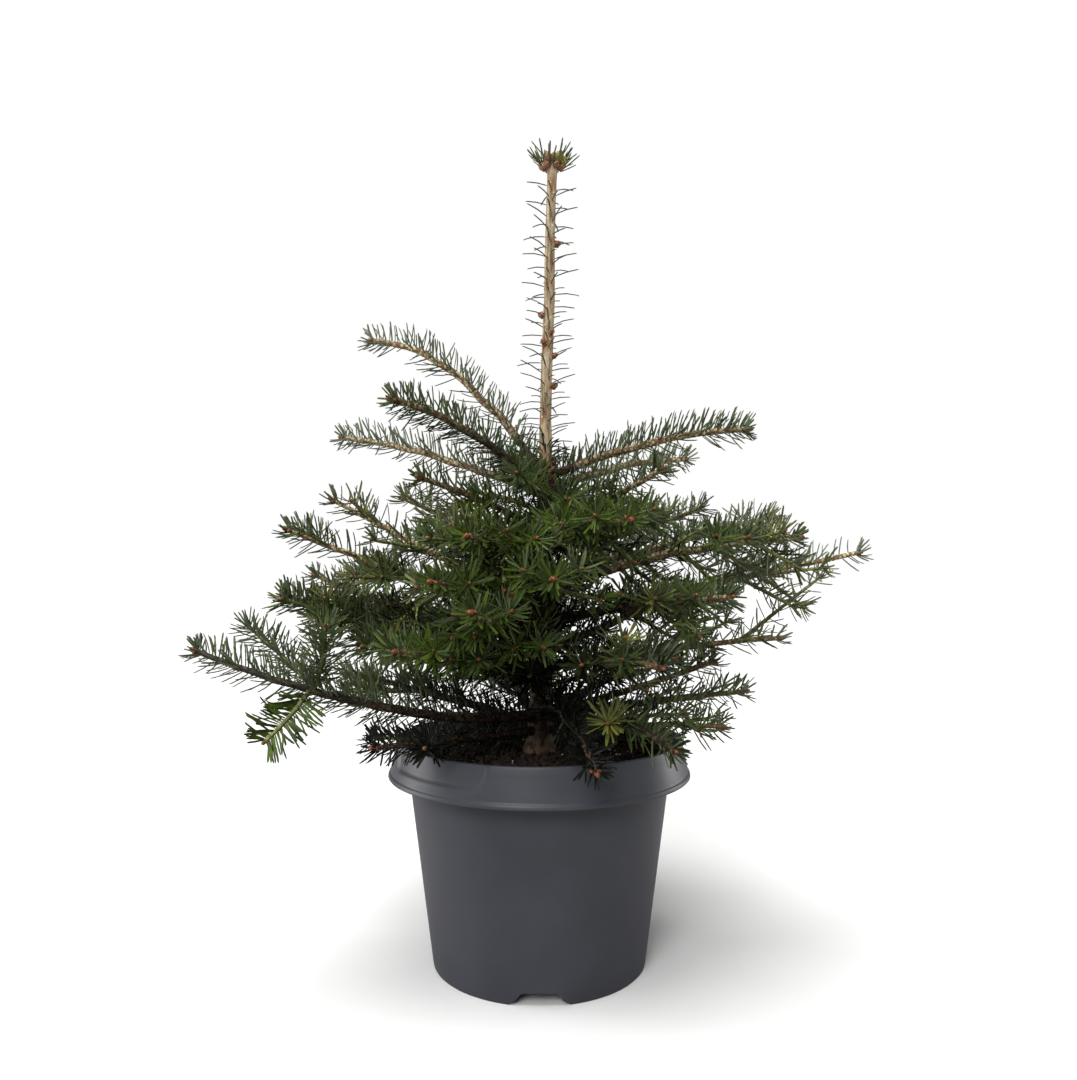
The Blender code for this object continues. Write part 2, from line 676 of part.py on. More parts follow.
def make_branch(branch, number, plan, space, bark, green):
    """The bough and the needle mass of one branch."""
    limb, main, sides = plan
    ray = heading(branch.azimuth)
    if limb:
        points = resampled(limb, 0.012)
        radii = [branch_radius(branch, branch.limb * i / (len(points) - 1)) for i in range(len(points))]
        make_limb(branch.name + "_bough", points, radii, 6, bark, ray)
    rng = random.Random(500 + number)
    space.settle(branch.name)
    kept = []
    for side, path in zip(branch.sides, sides):
        if space.clear(path[2:], 0.004):
            kept.append((side, path))
            space.add(branch.name, path, SIDE_SHOOT_RADIUS)
    space.settle(branch.name)
    points = resampled(main, NEEDLE_PITCH)
    radii = [
        branch_radius(branch, branch.limb + (1.0 - branch.limb) * i / (len(points) - 1)) for i in range(len(points))
    ]
    bare = 0.0 if limb else BARE_FOOT
    forks = [path[0] for _, path in kept]
    mass = make_shoot(branch.name, points, radii, bare, space, rng, green, None if limb else ray, forks)
    shoots = []
    for i, (side, path) in enumerate(kept):
        points = resampled(path, NEEDLE_PITCH)
        foot = SIDE_SHOOT_RADIUS * 0.92
        radii = [foot + (SHOOT_TIP_RADIUS * 0.85 - foot) * j / (len(points) - 1) for j in range(len(points))]
        shoots.append(make_shoot(f"{branch.name}_side_{i}", points, radii, BARE_FOOT, space, rng, green))
    return fuse(mass, shoots)


def make_trunk(bark, space):
    """The trunk, whole from its flat foot to its tip, with the leader's sparse needles drawn out of it."""
    rng = random.Random(7)
    lower = np.linspace(TRUNK_FOOT_HEIGHT, TRUNK_FOOT_HEIGHT + 0.030, 5)
    middle = np.linspace(TRUNK_FOOT_HEIGHT + 0.045, LEADER_FOOT_HEIGHT, 11)
    count = round((TUFT_HEIGHT - LEADER_FOOT_HEIGHT) / LEADER_NEEDLE_PITCH)
    upper = []
    for height in np.linspace(LEADER_FOOT_HEIGHT, TUFT_HEIGHT - CLEARANCE, count + 1)[1:]:
        upper += [height - LEADER_NEEDLE_BAND, height]
    heights = [*lower, *middle, *upper]
    bands = {i for i in range(len(lower) + len(middle), len(heights), 2)}
    space.settle("trunk")

    def needle(centre, normal, tangent, up, share):
        band = round(share * (len(heights) - 1) - 0.5)
        if band not in bands or rng.random() < 0.55:
            return None
        way = (normal + tangent * rng.uniform(0.05, 0.45)).normalized()
        return centre + way * LEADER_NEEDLE_LENGTH * rng.uniform(0.75, 1.1)

    points = [trunk_at(float(h))[0] for h in heights]
    radii = [trunk_at(float(h))[1] for h in heights]
    upright = Vector((0.0, 0.0, 1.0))
    return needled_tube("trunk", points, radii, LEADER_SIDES, needle, space.free, bark, upright, bud=0.0)


def make_tuft(space, green):
    """The rosette of short needles and the end bud on top of the leader."""
    rng = random.Random(9)
    axis, _ = trunk_at(TUFT_HEIGHT)
    points = [axis + Vector((0.0, 0.0, TUFT_LENGTH * share)) for share in (0.0, 0.25, 0.5, 0.75, 1.0)]
    space.settle("leader_tuft")

    def needle(centre, normal, tangent, up, share):
        if rng.random() < 0.25:
            return None
        way = (normal + tangent * (0.5 + 1.2 * share)).normalized()
        return centre + way * TUFT_NEEDLE_LENGTH * rng.uniform(0.8, 1.1)

    radii = (0.0030, 0.0044, 0.0046, 0.0038, 0.0020)
    upright = Vector((0.0, 0.0, 1.0))
    return needled_tube("leader_tuft", points, radii, LEADER_SIDES, needle, space.free, green, upright, bud=0.003)


def claimed_space(branches):
    """A fresh Space that holds the trunk, the tuft and the branches, and the branches' plans."""
    space = Space()
    trunk_axis = [trunk_at(float(h))[0] for h in np.linspace(TRUNK_FOOT_HEIGHT, TUFT_HEIGHT, 100)]
    bare = [p for p in trunk_axis if p.z < LEADER_FOOT_HEIGHT]
    space.add("trunk", bare, TRUNK_BARE_RADIUS, needled=False)
    space.add("trunk", trunk_axis[len(bare):], 0.0)
    tuft_axis = [trunk_axis[-1], trunk_axis[-1] + Vector((0.0, 0.0, TUFT_LENGTH))]
    space.add("leader_tuft", tuft_axis, 0.004)
    return space, plan_branches(branches, space)


def main():
    clear_scene()
    make_pot()
    make_soil()
    bark = material("straw bark", BARK_TAN, 0.8)
    wood = material("brown bark", BOUGH_BROWN, 0.85)
    green = material("fir needles", NEEDLE_GREEN, 0.5)
    space, _ = claimed_space(BRANCHES)
    trunk = make_trunk(bark, space)
    make_tuft(space, green)
    faces = BVHTree.FromPolygons([v.co for v in trunk.data.vertices], [tuple(p.vertices) for p in trunk.data.polygons])
    branches = [seated(branch, faces) for branch in BRANCHES]
    space, plans = claimed_space(branches)
    for number, branch in enumerate(branches):
        make_branch(branch, number, plans[branch.name], space, wood, green)


main()
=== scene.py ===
"""The looks of a young Korean fir in its nursery pot, laid out as an add-on and run as a script.

Metres, +Z up. The origin is the middle of the pot's underside, and -Y is the side that is seen from the front.
"""

import json
import math
import random
from collections import namedtuple
from functools import lru_cache

import bmesh
import bpy
import numpy as np
from bpy.props import FloatProperty, FloatVectorProperty, IntProperty, PointerProperty
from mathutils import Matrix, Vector, noise
from mathutils.kdtree import KDTree

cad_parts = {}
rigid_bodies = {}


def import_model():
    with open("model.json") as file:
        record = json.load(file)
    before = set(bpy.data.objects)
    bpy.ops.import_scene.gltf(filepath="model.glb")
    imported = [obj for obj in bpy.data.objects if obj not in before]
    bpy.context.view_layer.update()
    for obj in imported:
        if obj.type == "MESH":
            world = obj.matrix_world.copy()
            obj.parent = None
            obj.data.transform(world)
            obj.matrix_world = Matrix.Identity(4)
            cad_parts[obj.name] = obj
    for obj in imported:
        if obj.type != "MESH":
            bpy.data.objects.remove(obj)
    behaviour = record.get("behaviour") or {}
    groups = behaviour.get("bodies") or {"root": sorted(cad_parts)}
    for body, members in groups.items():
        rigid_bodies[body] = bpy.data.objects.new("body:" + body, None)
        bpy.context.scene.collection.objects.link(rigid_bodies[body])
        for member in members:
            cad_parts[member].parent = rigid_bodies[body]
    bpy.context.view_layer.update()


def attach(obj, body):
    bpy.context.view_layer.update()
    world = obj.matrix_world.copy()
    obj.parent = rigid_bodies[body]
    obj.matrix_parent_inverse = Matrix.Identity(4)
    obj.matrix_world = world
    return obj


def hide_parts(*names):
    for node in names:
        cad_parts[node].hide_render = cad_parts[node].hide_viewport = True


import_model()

bl_info = {
    "name": "Korean Fir in its Pot",
    "version": (1, 0, 0),
    "blender": (4, 5, 0),
    "location": "View3D > Sidebar > Fir",
    "description": "Builds the bark, twigs, needles, buds, potting mix and pot of a young Korean fir",
    "category": "Add Mesh",
}

# Photograph's view: the camera stands level before the plant
CAMERA_DISTANCE = 0.602
CAMERA_HEIGHT = 0.260
SENSOR_WIDTH = 36.0
FOCAL_PIXELS = 919.0
FRAME_WIDTH = 1077.0
FRAME_HEIGHT = 1080.0
PRINCIPAL_X = 539.3
PRINCIPAL_Y = 559.0

# Pot
POT_HEIGHT = 0.1445
FOOT_RADIUS = 0.0688
NECK_RADIUS = 0.0843
LIP_HEIGHT = 0.1213
LIP_RADIUS = 0.0970
RIM_TOP_RADIUS = 0.0922
WALL = 0.0020
BASE_LIFT = 0.0080
HUB_RADIUS = 0.0300
SKIRT_WIDTH = 0.0026
POT_SEGMENTS = 300
NOTCH_COUNT = 4
NOTCH_HEIGHT = 0.0080
NOTCH_FOOT_WIDTH = 0.0370
NOTCH_TOP_WIDTH = 0.0215
DRAIN_HOLE_COUNT = 6
DRAIN_HOLE_RADIUS = 0.0050
DRAIN_RING_RADIUS = 0.0480
PANEL_AZIMUTHS = (226.0, 46.0)
PANEL_SPAN = 50.0
PANEL_DEPTH = 0.0016
PANEL_FOOT_HEIGHT = 0.1305

# Potting mix
SOIL_HEIGHT = 0.1345
SOIL_FLAT_RADIUS = 0.0170
SOIL_RADIUS = 0.0822
SOIL_GAP = 0.0004

# Trunk: height above the ground, radius, and how far the axis has moved towards +X there
TRUNK_STATIONS = (
    (0.1340, 0.0120, 0.0000),
    (0.1400, 0.0092, 0.0002),
    (0.1500, 0.0078, 0.0005),
    (0.1900, 0.0072, 0.0016),
    (0.2400, 0.0064, 0.0028),
    (0.2900, 0.0057, 0.0038),
    (0.3080, 0.0059, 0.0040),
    (0.3200, 0.0045, 0.0042),
    (0.3500, 0.0038, 0.0040),
    (0.3900, 0.0037, 0.0050),
    (0.4300, 0.0035, 0.0066),
    (0.4700, 0.0032, 0.0070),
    (0.5100, 0.0031, 0.0083),
    (0.5165, 0.0038, 0.0084),
    (0.5210, 0.0030, 0.0085),
)
TRUNK_BARE_RADIUS = 0.0075
LEADER_FOOT_HEIGHT = 0.3200
LEADER_TOP_HEIGHT = 0.5200

# Shoots
SHOOT_TIP_RADIUS = 0.0015
SIDE_SHOOT_RADIUS = 0.0015
FINE_SHOOT_RADIUS = 0.0010
SAMPLE_STEP = 0.0040
CLEARANCE = 0.0003

# One row for each branch that leaves the trunk. foot is the height where it leaves, tip the height of its end
# bud, azimuth is counted from +X, arch lifts the middle, sweep bends it to its own left, limb is the share of
# its length that is a bare bough, and sides are its side shoots.
Branch = namedtuple("Branch", "name foot azimuth reach tip arch sweep limb radius sides")
# A side shoot leaves at a share of the branch's length, turns to the left in plan, climbs, and is that long.
Side = namedtuple("Side", "at turn climb length")
# A shoot as it is drawn: its branch's name, its axis, its radii, the length that bears no needles, and its rank.
# rank is 0 for a bare bough, 1 for a branch, 2 for a side shoot and 3 for a fine twig. form is "round" where the
# needles stand all round, "flat" where they lie in two rows, and "common" elsewhere.
Shoot = namedtuple("Shoot", "name points radii bare rank form", defaults=("common",))


def pair(at, length, turn=52.0, climb=6.0):
    """Two side shoots that face each other."""
    return (Side(at, turn, climb, length), Side(at, -turn, climb, length))


WHORL_RADIUS = 0.0026
BRANCHES = (
    Branch("crown_left_high", 0.319, 170, 0.120, 0.4075, 0.021, 0.000, 0.14, WHORL_RADIUS, ()),
    Branch("crown_left_front", 0.308, 214, 0.109, 0.354, 0.008, 0.000, 0.12, WHORL_RADIUS, ()),
    Branch("crown_left_back", 0.304, 161, 0.151, 0.346, 0.005, 0.000, 0.12, WHORL_RADIUS, ()),
    Branch("crown_right_front", 0.315, 347, 0.128, 0.341, 0.006, 0.000, 0.12, WHORL_RADIUS, ()),
    Branch("crown_right_back", 0.307, 37, 0.130, 0.334, 0.004, 0.000, 0.12, WHORL_RADIUS, ()),
    Branch("crown_back", 0.304, 105, 0.128, 0.336, 0.006, 0.000, 0.12, WHORL_RADIUS, ()),
    Branch("upper_right_near", 0.284, 314, 0.097, 0.312, -0.002, 0.000, 0.0, 0.0023, ()),
    Branch("upper_left_near", 0.280, 213, 0.090, 0.309, 0.002, 0.000, 0.0, 0.0023, ()),
    Branch("upper_front_right", 0.262, 292, 0.120, 0.281, 0.004, 0.000, 0.0, 0.0023, pair(0.55, 0.042)),
    Branch("upper_front_left", 0.252, 252, 0.130, 0.272, 0.004, 0.000, 0.0, 0.0023, pair(0.55, 0.042)),
    Branch("upper_right_far", 0.266, 29, 0.126, 0.295, -0.002, 0.000, 0.0, 0.0022, ()),
    Branch("upper_left_far", 0.262, 149, 0.117, 0.306, -0.004, 0.000, 0.0, 0.0022, ()),
    Branch("upper_back", 0.262, 78, 0.125, 0.300, 0.002, 0.000, 0.0, 0.0022, ()),
    Branch("middle_left_high", 0.230, 176, 0.140, 0.299, 0.000, 0.000, 0.0, 0.0026, pair(0.52, 0.040)),
    Branch("middle_left", 0.214, 191, 0.161, 0.278, 0.001, 0.000, 0.28, 0.0030, pair(0.50, 0.050)),
    Branch("middle_right_far", 0.247, 22, 0.180, 0.291, 0.002, 0.000, 0.25, 0.0030, pair(0.55, 0.055)),
    Branch("middle_right", 0.240, 346, 0.160, 0.273, 0.007, 0.000, 0.22, 0.0032, pair(0.62, 0.045)),
    Branch(
        "middle_right_long", 0.218, 8, 0.220, 0.2645, 0.001, 0.000, 0.28, 0.0030,
        (Side(0.50, -44.0, 26.0, 0.058), *pair(0.64, 0.052)),
    ),
    Branch("middle_front_left", 0.224, 246, 0.142, 0.248, 0.002, 0.000, 0.0, 0.0026, pair(0.55, 0.042)),
    Branch("middle_front_right", 0.222, 319, 0.138, 0.239, 0.000, 0.000, 0.0, 0.0026, pair(0.55, 0.040)),
    Branch("middle_front", 0.228, 272, 0.135, 0.250, 0.004, 0.000, 0.0, 0.0026, ()),
    Branch("middle_back_right", 0.232, 58, 0.172, 0.280, 0.003, 0.000, 0.25, 0.0030, pair(0.55, 0.055)),
    Branch("middle_back_left", 0.228, 124, 0.165, 0.282, 0.003, 0.000, 0.25, 0.0030, pair(0.55, 0.055)),
    Branch("low_left", 0.182, 200, 0.162, 0.2385, -0.003, 0.000, 0.0, 0.0032, (*pair(0.50, 0.050), *pair(0.74, 0.034))),
    Branch("low_left_far", 0.208, 170, 0.158, 0.249, -0.006, 0.000, 0.0, 0.0030, pair(0.50, 0.045)),
    Branch(
        "low_right", 0.190, 7, 0.162, 0.2065, 0.002, 0.000, 0.0, 0.0030,
        (Side(0.82, 12.0, 35.0, 0.076), *pair(0.45, 0.045)),
    ),
    Branch("low_front_left", 0.190, 237, 0.141, 0.211, 0.000, 0.000, 0.0, 0.0028, pair(0.55, 0.042)),
    Branch("low_front", 0.205, 256, 0.146, 0.233, 0.000, 0.000, 0.0, 0.0028, ()),
    Branch("low_front_right", 0.190, 297, 0.137, 0.203, 0.004, 0.000, 0.0, 0.0028, pair(0.55, 0.040)),
    Branch("low_right_far", 0.200, 40, 0.165, 0.238, 0.002, 0.000, 0.0, 0.0030, pair(0.55, 0.055)),
    Branch("low_back", 0.192, 92, 0.165, 0.232, 0.002, 0.000, 0.0, 0.0032, pair(0.55, 0.055)),
    Branch("low_back_left", 0.182, 144, 0.170, 0.226, 0.002, 0.000, 0.0, 0.0030, pair(0.55, 0.055)),
    Branch(
        "skirt_left", 0.158, 202, 0.212, 0.208, -0.010, 0.022, 0.30, 0.0040,
        (Side(0.70, 72.0, -24.0, 0.047), Side(0.69, 112.0, 50.0, 0.050), Side(0.68, -58.0, 27.0, 0.080)),
    ),
    Branch("skirt_front_left", 0.1485, 224, 0.129, 0.1545, 0.000, 0.000, 0.0, 0.0030, pair(0.66, 0.035)),
    Branch("skirt_right_high", 0.160, 349, 0.111, 0.195, -0.001, 0.000, 0.0, 0.0026, ()),
    Branch("skirt_right", 0.156, 6, 0.138, 0.171, 0.002, 0.000, 0.0, 0.0032, pair(0.50, 0.042)),
    Branch("skirt_right_low", 0.149, 334, 0.120, 0.160, 0.002, 0.000, 0.0, 0.0026, ()),
    Branch("skirt_front_right", 0.170, 305, 0.126, 0.156, 0.006, 0.000, 0.0, 0.0028, pair(0.60, 0.035)),
    Branch("skirt_front", 0.164, 285, 0.114, 0.146, 0.010, 0.000, 0.0, 0.0026, ()),
    Branch("skirt_back_right", 0.158, 52, 0.155, 0.186, 0.002, 0.000, 0.0, 0.0034, pair(0.55, 0.050)),
    Branch("skirt_back", 0.152, 103, 0.150, 0.176, 0.003, 0.000, 0.0, 0.0034, pair(0.55, 0.050)),
    Branch("skirt_back_left", 0.152, 152, 0.165, 0.176, 0.002, 0.000, 0.0, 0.0034, pair(0.55, 0.050)),
)

# Shares of a branch's length where a year's growth ends in a ring of buds
NODES = {
    "crown_left_high": (0.37, 0.66),
    "crown_right_front": (0.51,),
    "crown_left_back": (0.5,),
    "middle_right": (0.60,),
    "middle_left": (0.55,),
    "low_left": (0.62,),
}

# Finer side shoots that hang or climb between the tiers, by branch
FILLERS = {
    "middle_right": (
        Side(0.32, 38.0, -34.0, 0.045), Side(0.46, -45.0, -36.0, 0.050),
        Side(0.66, 36.0, -30.0, 0.040), Side(0.82, -38.0, -26.0, 0.034),
        Side(0.28, -22.0, -36.0, 0.042), Side(0.38, 6.0, -44.0, 0.042), Side(0.54, 10.0, -42.0, 0.040),
    ),
    "middle_right_long": (
        Side(0.42, 38.0, -24.0, 0.045), Side(0.60, -36.0, -26.0, 0.042), Side(0.74, 30.0, -22.0, 0.036),
        Side(0.52, 6.0, -40.0, 0.042), Side(0.66, -6.0, -38.0, 0.040),
    ),
    "middle_right_far": (Side(0.45, -40.0, -28.0, 0.042), Side(0.68, 34.0, -24.0, 0.038)),
    "low_left": (Side(0.60, -40.0, 30.0, 0.040), Side(0.84, 24.0, 16.0, 0.030)),
    "middle_left": (Side(0.40, 40.0, -30.0, 0.042), Side(0.62, -38.0, -28.0, 0.036)),
    "low_right": (Side(0.34, 30.0, 32.0, 0.045), Side(0.55, -35.0, 28.0, 0.040)),
    "low_front": (Side(0.45, 45.0, -10.0, 0.040), Side(0.45, -45.0, -10.0, 0.040)),
    "middle_front": (Side(0.50, 50.0, -6.0, 0.040), Side(0.50, -50.0, -6.0, 0.040)),
    "skirt_front": (Side(0.50, 55.0, 10.0, 0.032),),
    "upper_front_right": (Side(0.60, 30.0, -34.0, 0.038), Side(0.60, -34.0, -32.0, 0.036)),
    "middle_front_right": (Side(0.45, 40.0, -30.0, 0.038), Side(0.72, -34.0, -28.0, 0.034), Side(0.60, 12.0, -38.0, 0.034)),
    "low_front_right": (Side(0.50, 36.0, -28.0, 0.034), Side(0.70, -30.0, 26.0, 0.034)),
    "upper_front_left": (Side(0.62, 28.0, -34.0, 0.036), Side(0.60, -34.0, -30.0, 0.036)),
    "middle_front_left": (Side(0.62, 30.0, -30.0, 0.036), Side(0.50, -36.0, -26.0, 0.036)),
    "upper_right_near": (Side(0.45, 44.0, -20.0, 0.034), Side(0.55, -44.0, -24.0, 0.034)),
    "upper_left_near": (Side(0.45, 44.0, -20.0, 0.034), Side(0.55, -44.0, -24.0, 0.034)),
}

# Forms of single side shoots, by branch and the side's place in its row
FORMS = {("skirt_left", 0): "flat", ("skirt_left", 1): "round"}

# Short shoots in the core of the crown: height, azimuth, reach and height of the tip
INNER_SHOOTS = (
    (0.300, 250, 0.050, 0.312),
    (0.296, 330, 0.048, 0.306),
    (0.292, 190, 0.046, 0.303),
    (0.290, 80, 0.048, 0.302),
    (0.288, 285, 0.052, 0.296),
    (0.278, 350, 0.050, 0.288),
    (0.274, 170, 0.048, 0.283),
    (0.272, 265, 0.055, 0.283),
    (0.250, 300, 0.050, 0.258),
    (0.246, 225, 0.048, 0.254),
    (0.240, 100, 0.050, 0.250),
    (0.212, 275, 0.055, 0.220),
    (0.206, 320, 0.050, 0.214),
    (0.204, 215, 0.050, 0.212),
    (0.182, 262, 0.052, 0.190),
    (0.178, 335, 0.050, 0.186),
    (0.176, 120, 0.052, 0.184),
)

# Needle tints by branch. The others take theirs from the side of the plant that they grow on; the front's tint is a
# painted lit copy of the green.
# The two darkest tints in this table are painted shade, for low needles under the upper tiers.
TINTS = {
    "crown_left_high": "grey",
    "crown_left_front": "green",
    "upper_right_near": "green",
    "crown_left_back": "grey",
    "crown_right_front": "green",
    "middle_right": "green",
    "middle_right_long": "grey",
    "middle_right_far": "grey",
    "skirt_left": "green",
    "skirt_front_left": "shade",
    "skirt_front": "shade",
    "skirt_front_right": "green",
    "skirt_right_low": "green",
    "middle_front_right": "green",
    "low_front_right": "deep",
    "low_right": "grey",
    "skirt_right_high": "deep",
}
TINT_NAMES = ("fresh", "green", "olive", "grey", "deep", "shade")
PIECE_NEEDLES = 5000
# Needles this near the trunk and below this height, outside the crown, take the darkest tint: painted shade for the
# middle of the crown.
SHADE_RADIUS = 0.076
SHADE_BLEND = 0.030
SHADE_TOP = 0.268

# Share of the needles beneath a shoot that are kept, where it isn't the common one
BENEATH = {
    "crown_left_front": 0.95,
    "crown_left_high": 0.45,
    "crown_left_back": 0.45,
    "crown_right_front": 0.22,
    "skirt_left": 0.80,
    "skirt_front_left": 0.80,
}
COMMON_BENEATH = 0.50

# Needles for each length of a shoot, where they stand closer or wider than the common ones
DENSITY = {
    "crown_left_front": 1.90,
    "crown_right_front": 1.85,
    "crown_right_back": 1.30,
    "crown_left_high": 1.25,
    "crown_left_back": 1.25,
    "skirt_left": 1.40,
    "low_left": 1.30,
    "middle_right": 0.63,
    "middle_right_long": 0.46,
    "middle_right_far": 0.42,
    "middle_left_high": 0.46,
    "middle_left": 0.60,
    "middle_back_left": 0.62,
    "middle_back_right": 0.42,
    "upper_left_far": 0.45,
    "upper_right_far": 0.62,
    "low_left_far": 0.44,
    "low_right": 0.24,
    "low_back": 0.50,
    "low_back_left": 0.80,
    "low_front_right": 0.62,
    "middle_front_right": 0.82,
    "skirt_right_high": 0.34,
    "skirt_right": 0.35,
    "skirt_right_low": 0.52,
    "low_right_far": 0.20,
    "skirt_back_right": 0.30,
}

# Share of the needles on a shoot's two sides that are left out, so that its bark shows
PARTED = {"crown": 0.45, "middle_right": 0.40, "skirt_left": 0.20}

# Branches whose bark has turned brown to near their ends, those whose bark is darker right to their ends, and those
# that bear no fine twigs
BROWN = ("low", "skirt", "upper", "crown_left_front", "middle_front")
DARK = ("skirt_front", "skirt_left")
OPEN = ("low_right", "low_right_far", "skirt_right_high", "skirt_right", "middle_left_high", "middle_right_far", "upper_left_far")
STOUT = ("crown_left_high", "crown_left_back", "crown_left_front", "crown_right_front", "crown_right_back", "middle_right")
PLAIN = ("crown", "skirt_left", "skirt_front", "upper_right_near", "upper_left_near", "middle_right_long")

# Buds on the leader: height and azimuth
LEADER_BUDS = ((0.465, 0), (0.4185, 185), (0.407, 300), (0.400, 240), (0.392, 350), (0.372, 355), (0.437, 110))


def linear(code):
    """The linear colour of an sRGB hex value."""
    parts = [int(code[i:i + 2], 16) / 255.0 for i in (1, 3, 5)]
    return tuple(p / 12.92 if p <= 0.04045 else ((p + 0.055) / 1.055) ** 2.4 for p in parts)


def colour(name, description, code):
    """A colour property whose default is an sRGB hex value."""
    return FloatVectorProperty(
        name=name, description=description, default=linear(code), size=3, min=0.0, max=1.0, subtype="COLOR"
    )


def size(name, description, default):
    """A length property in metres."""
    return FloatProperty(name=name, description=description, default=default, min=0.0, precision=5, unit="LENGTH")


class FirPotSettings(bpy.types.PropertyGroup):
    """The pot's finish."""

    grey: colour("Grey", "Colour of the moulded pot", "#42434a")
    bead: size("Bead", "How far the bead along the rim's lower edge stands out", 0.0008)
    fillet: size("Fillet", "Radius of the pot's moulded edges", 0.0009)
    panel_edge: size("Panel edge", "Width of the soft step round the rim's panels", 0.0032)
    roughness: FloatProperty(name="Roughness", description="Roughness of the matte skin", default=0.41, min=0, max=1)


class FirMixSettings(bpy.types.PropertyGroup):
    """The potting mix."""

    dark: colour("Dark", "Colour of wet peat", "#120c08")
    light: colour("Light", "Colour of dry crumbs and bark", "#33241a")
    grain: colour("Perlite", "Colour of the perlite grains", "#cfcbc2")
    lump: size("Lump", "Height of the lumps of the surface", 0.0022)
    crumbs: IntProperty(name="Crumbs", description="Number of loose crumbs", default=2200, min=0)
    perlite: IntProperty(name="Perlite", description="Number of perlite grains", default=130, min=0)


class FirBarkSettings(bpy.types.PropertyGroup):
    """The bark of the trunk, boughs and twigs."""

    straw: colour("Straw", "Ridges of the leader's young bark", "#d2bc9b")
    groove: colour("Groove", "Grooves of the leader's young bark", "#75684c")
    twig: colour("Twig", "Needle cushions on the young twigs", "#cbc39c")
    shoot: colour("Shoot", "Needle cushions on the side twigs", "#8b8f4c")
    scar: colour("Scar", "The bark between the cushions", "#7d5c38")
    aged: colour("Aged", "Needle cushions on the older twigs", "#4c3423")
    brown: colour("Brown", "Old bark's plates", "#584230")
    crack: colour("Crack", "Old bark's cracks", "#1d140e")
    relief: size("Relief", "Depth of the old bark's relief", 0.00045)


class FirNeedleSettings(bpy.types.PropertyGroup):
    """The needles."""

    length: size("Length", "Length of a full-grown needle", 0.0152)
    width: size("Width", "Width of a needle", 0.0013)
    spacing: size("Spacing", "Distance along a shoot from one needle to the next", 0.00064)
    # The front's tint is a painted lit copy of the green: lighter and yellower, for needles that face the light.
    fresh: colour("Lit green", "Needles that face the light at the front", "#3f5019")
    green: colour("Green", "Common needles", "#3f4e25")
    olive: colour("Olive", "Needles of the younger side twigs", "#5a5f30")
    grey: colour("Grey", "Bloomy needles of the sides and back", "#646e55")
    # The last two tints are painted shade: darker needles under the upper tiers and in the middle of the crown.
    deep: colour("Deep shade", "Older needles under the upper tiers", "#202a0f")
    shade: colour("Shade", "Old needles in the middle of the crown", "#0b0f05")
    bloom: FloatProperty(name="Bloom", description="How pale the undersides are", default=0.32, min=0, max=1)
    seed: IntProperty(name="Seed", description="Seed of the needles' growth", default=500, min=0)


class FirBudSettings(bpy.types.PropertyGroup):
    """The buds."""

    russet: colour("Russet", "Resin-coated scales of resting buds", "#965633")
    fawn: colour("Fawn", "Dry scales of the leader's buds", "#b07650")
    swelling: colour("Swelling", "The swelling bud on top of the leader", "#a9a53a")
    length: size("Length", "Length of an end bud", 0.0044)


class FirStageSettings(bpy.types.PropertyGroup):
    """The floor and the studio light."""

    floor: colour("Floor", "Colour of the pale floor", "#f9f9f8")
    surround: FloatProperty(name="Surround", description="Brightness of the white surround", default=1.0, min=0)
    ambient: FloatProperty(name="Ambient", description="Light that the surround gives", default=0.16, min=0)
    overhead: FloatProperty(name="Overhead", description="Strength of the soft overhead light", default=2.5, min=0)
    front: FloatProperty(name="Front", description="Strength of the soft front light", default=1.75, min=0)
    bounce: colour("Bounce", "Colour of the light that the floor gives back", "#a0a0a0")
    edge: FloatProperty(name="Edge lights", description="Power of each side light", default=7.0, min=0, unit="POWER")


# Materials


def add(tree, kind, settings=(), links=()):
    """A node of one kind, with its settings and the links into it."""
    node = tree.nodes.new(kind)
    for name, value in dict(settings).items():
        if isinstance(name, str) and hasattr(node, name):
            setattr(node, name, value)
        else:
            node.inputs[name].default_value = value
    for name, source in dict(links).items():
        tree.links.new(source, node.inputs[name])
    return node


def new_material(name):
    """An empty node material: (material, tree, Principled BSDF)."""
    made = bpy.data.materials.new(name)
    made.use_nodes = True
    tree = made.node_tree
    tree.nodes.clear()
    shader = add(tree, "ShaderNodeBsdfPrincipled")
    add(tree, "ShaderNodeOutputMaterial", {}, {"Surface": shader.outputs[0]})
    return made, tree, shader


def ramp(tree, source, stops):
    """A colour ramp over (place, colour) stops, fed by a socket."""
    node = add(tree, "ShaderNodeValToRGB", {}, {"Fac": source})
    elements = node.color_ramp.elements
    while len(elements) < len(stops):
        elements.new(0.5)
    for element, (place, shade) in zip(elements, stops):
        element.position = place
        element.color = (*shade, 1.0)
    return node.outputs["Color"]


def bump(tree, shader, height, distance, strength=1.0):
    """Relief on a shader's normal, of a depth in metres."""
    node = add(
        tree, "ShaderNodeBump", {"Distance": distance, "Strength": strength}, {"Height": height}
    )
    tree.links.new(node.outputs["Normal"], shader.inputs["Normal"])


def scaled(shade, factor):
    return tuple(min(1.0, c * factor) for c in shade)


def mixed(first, second, share):
    return tuple(a + (b - a) * share for a, b in zip(first, second))


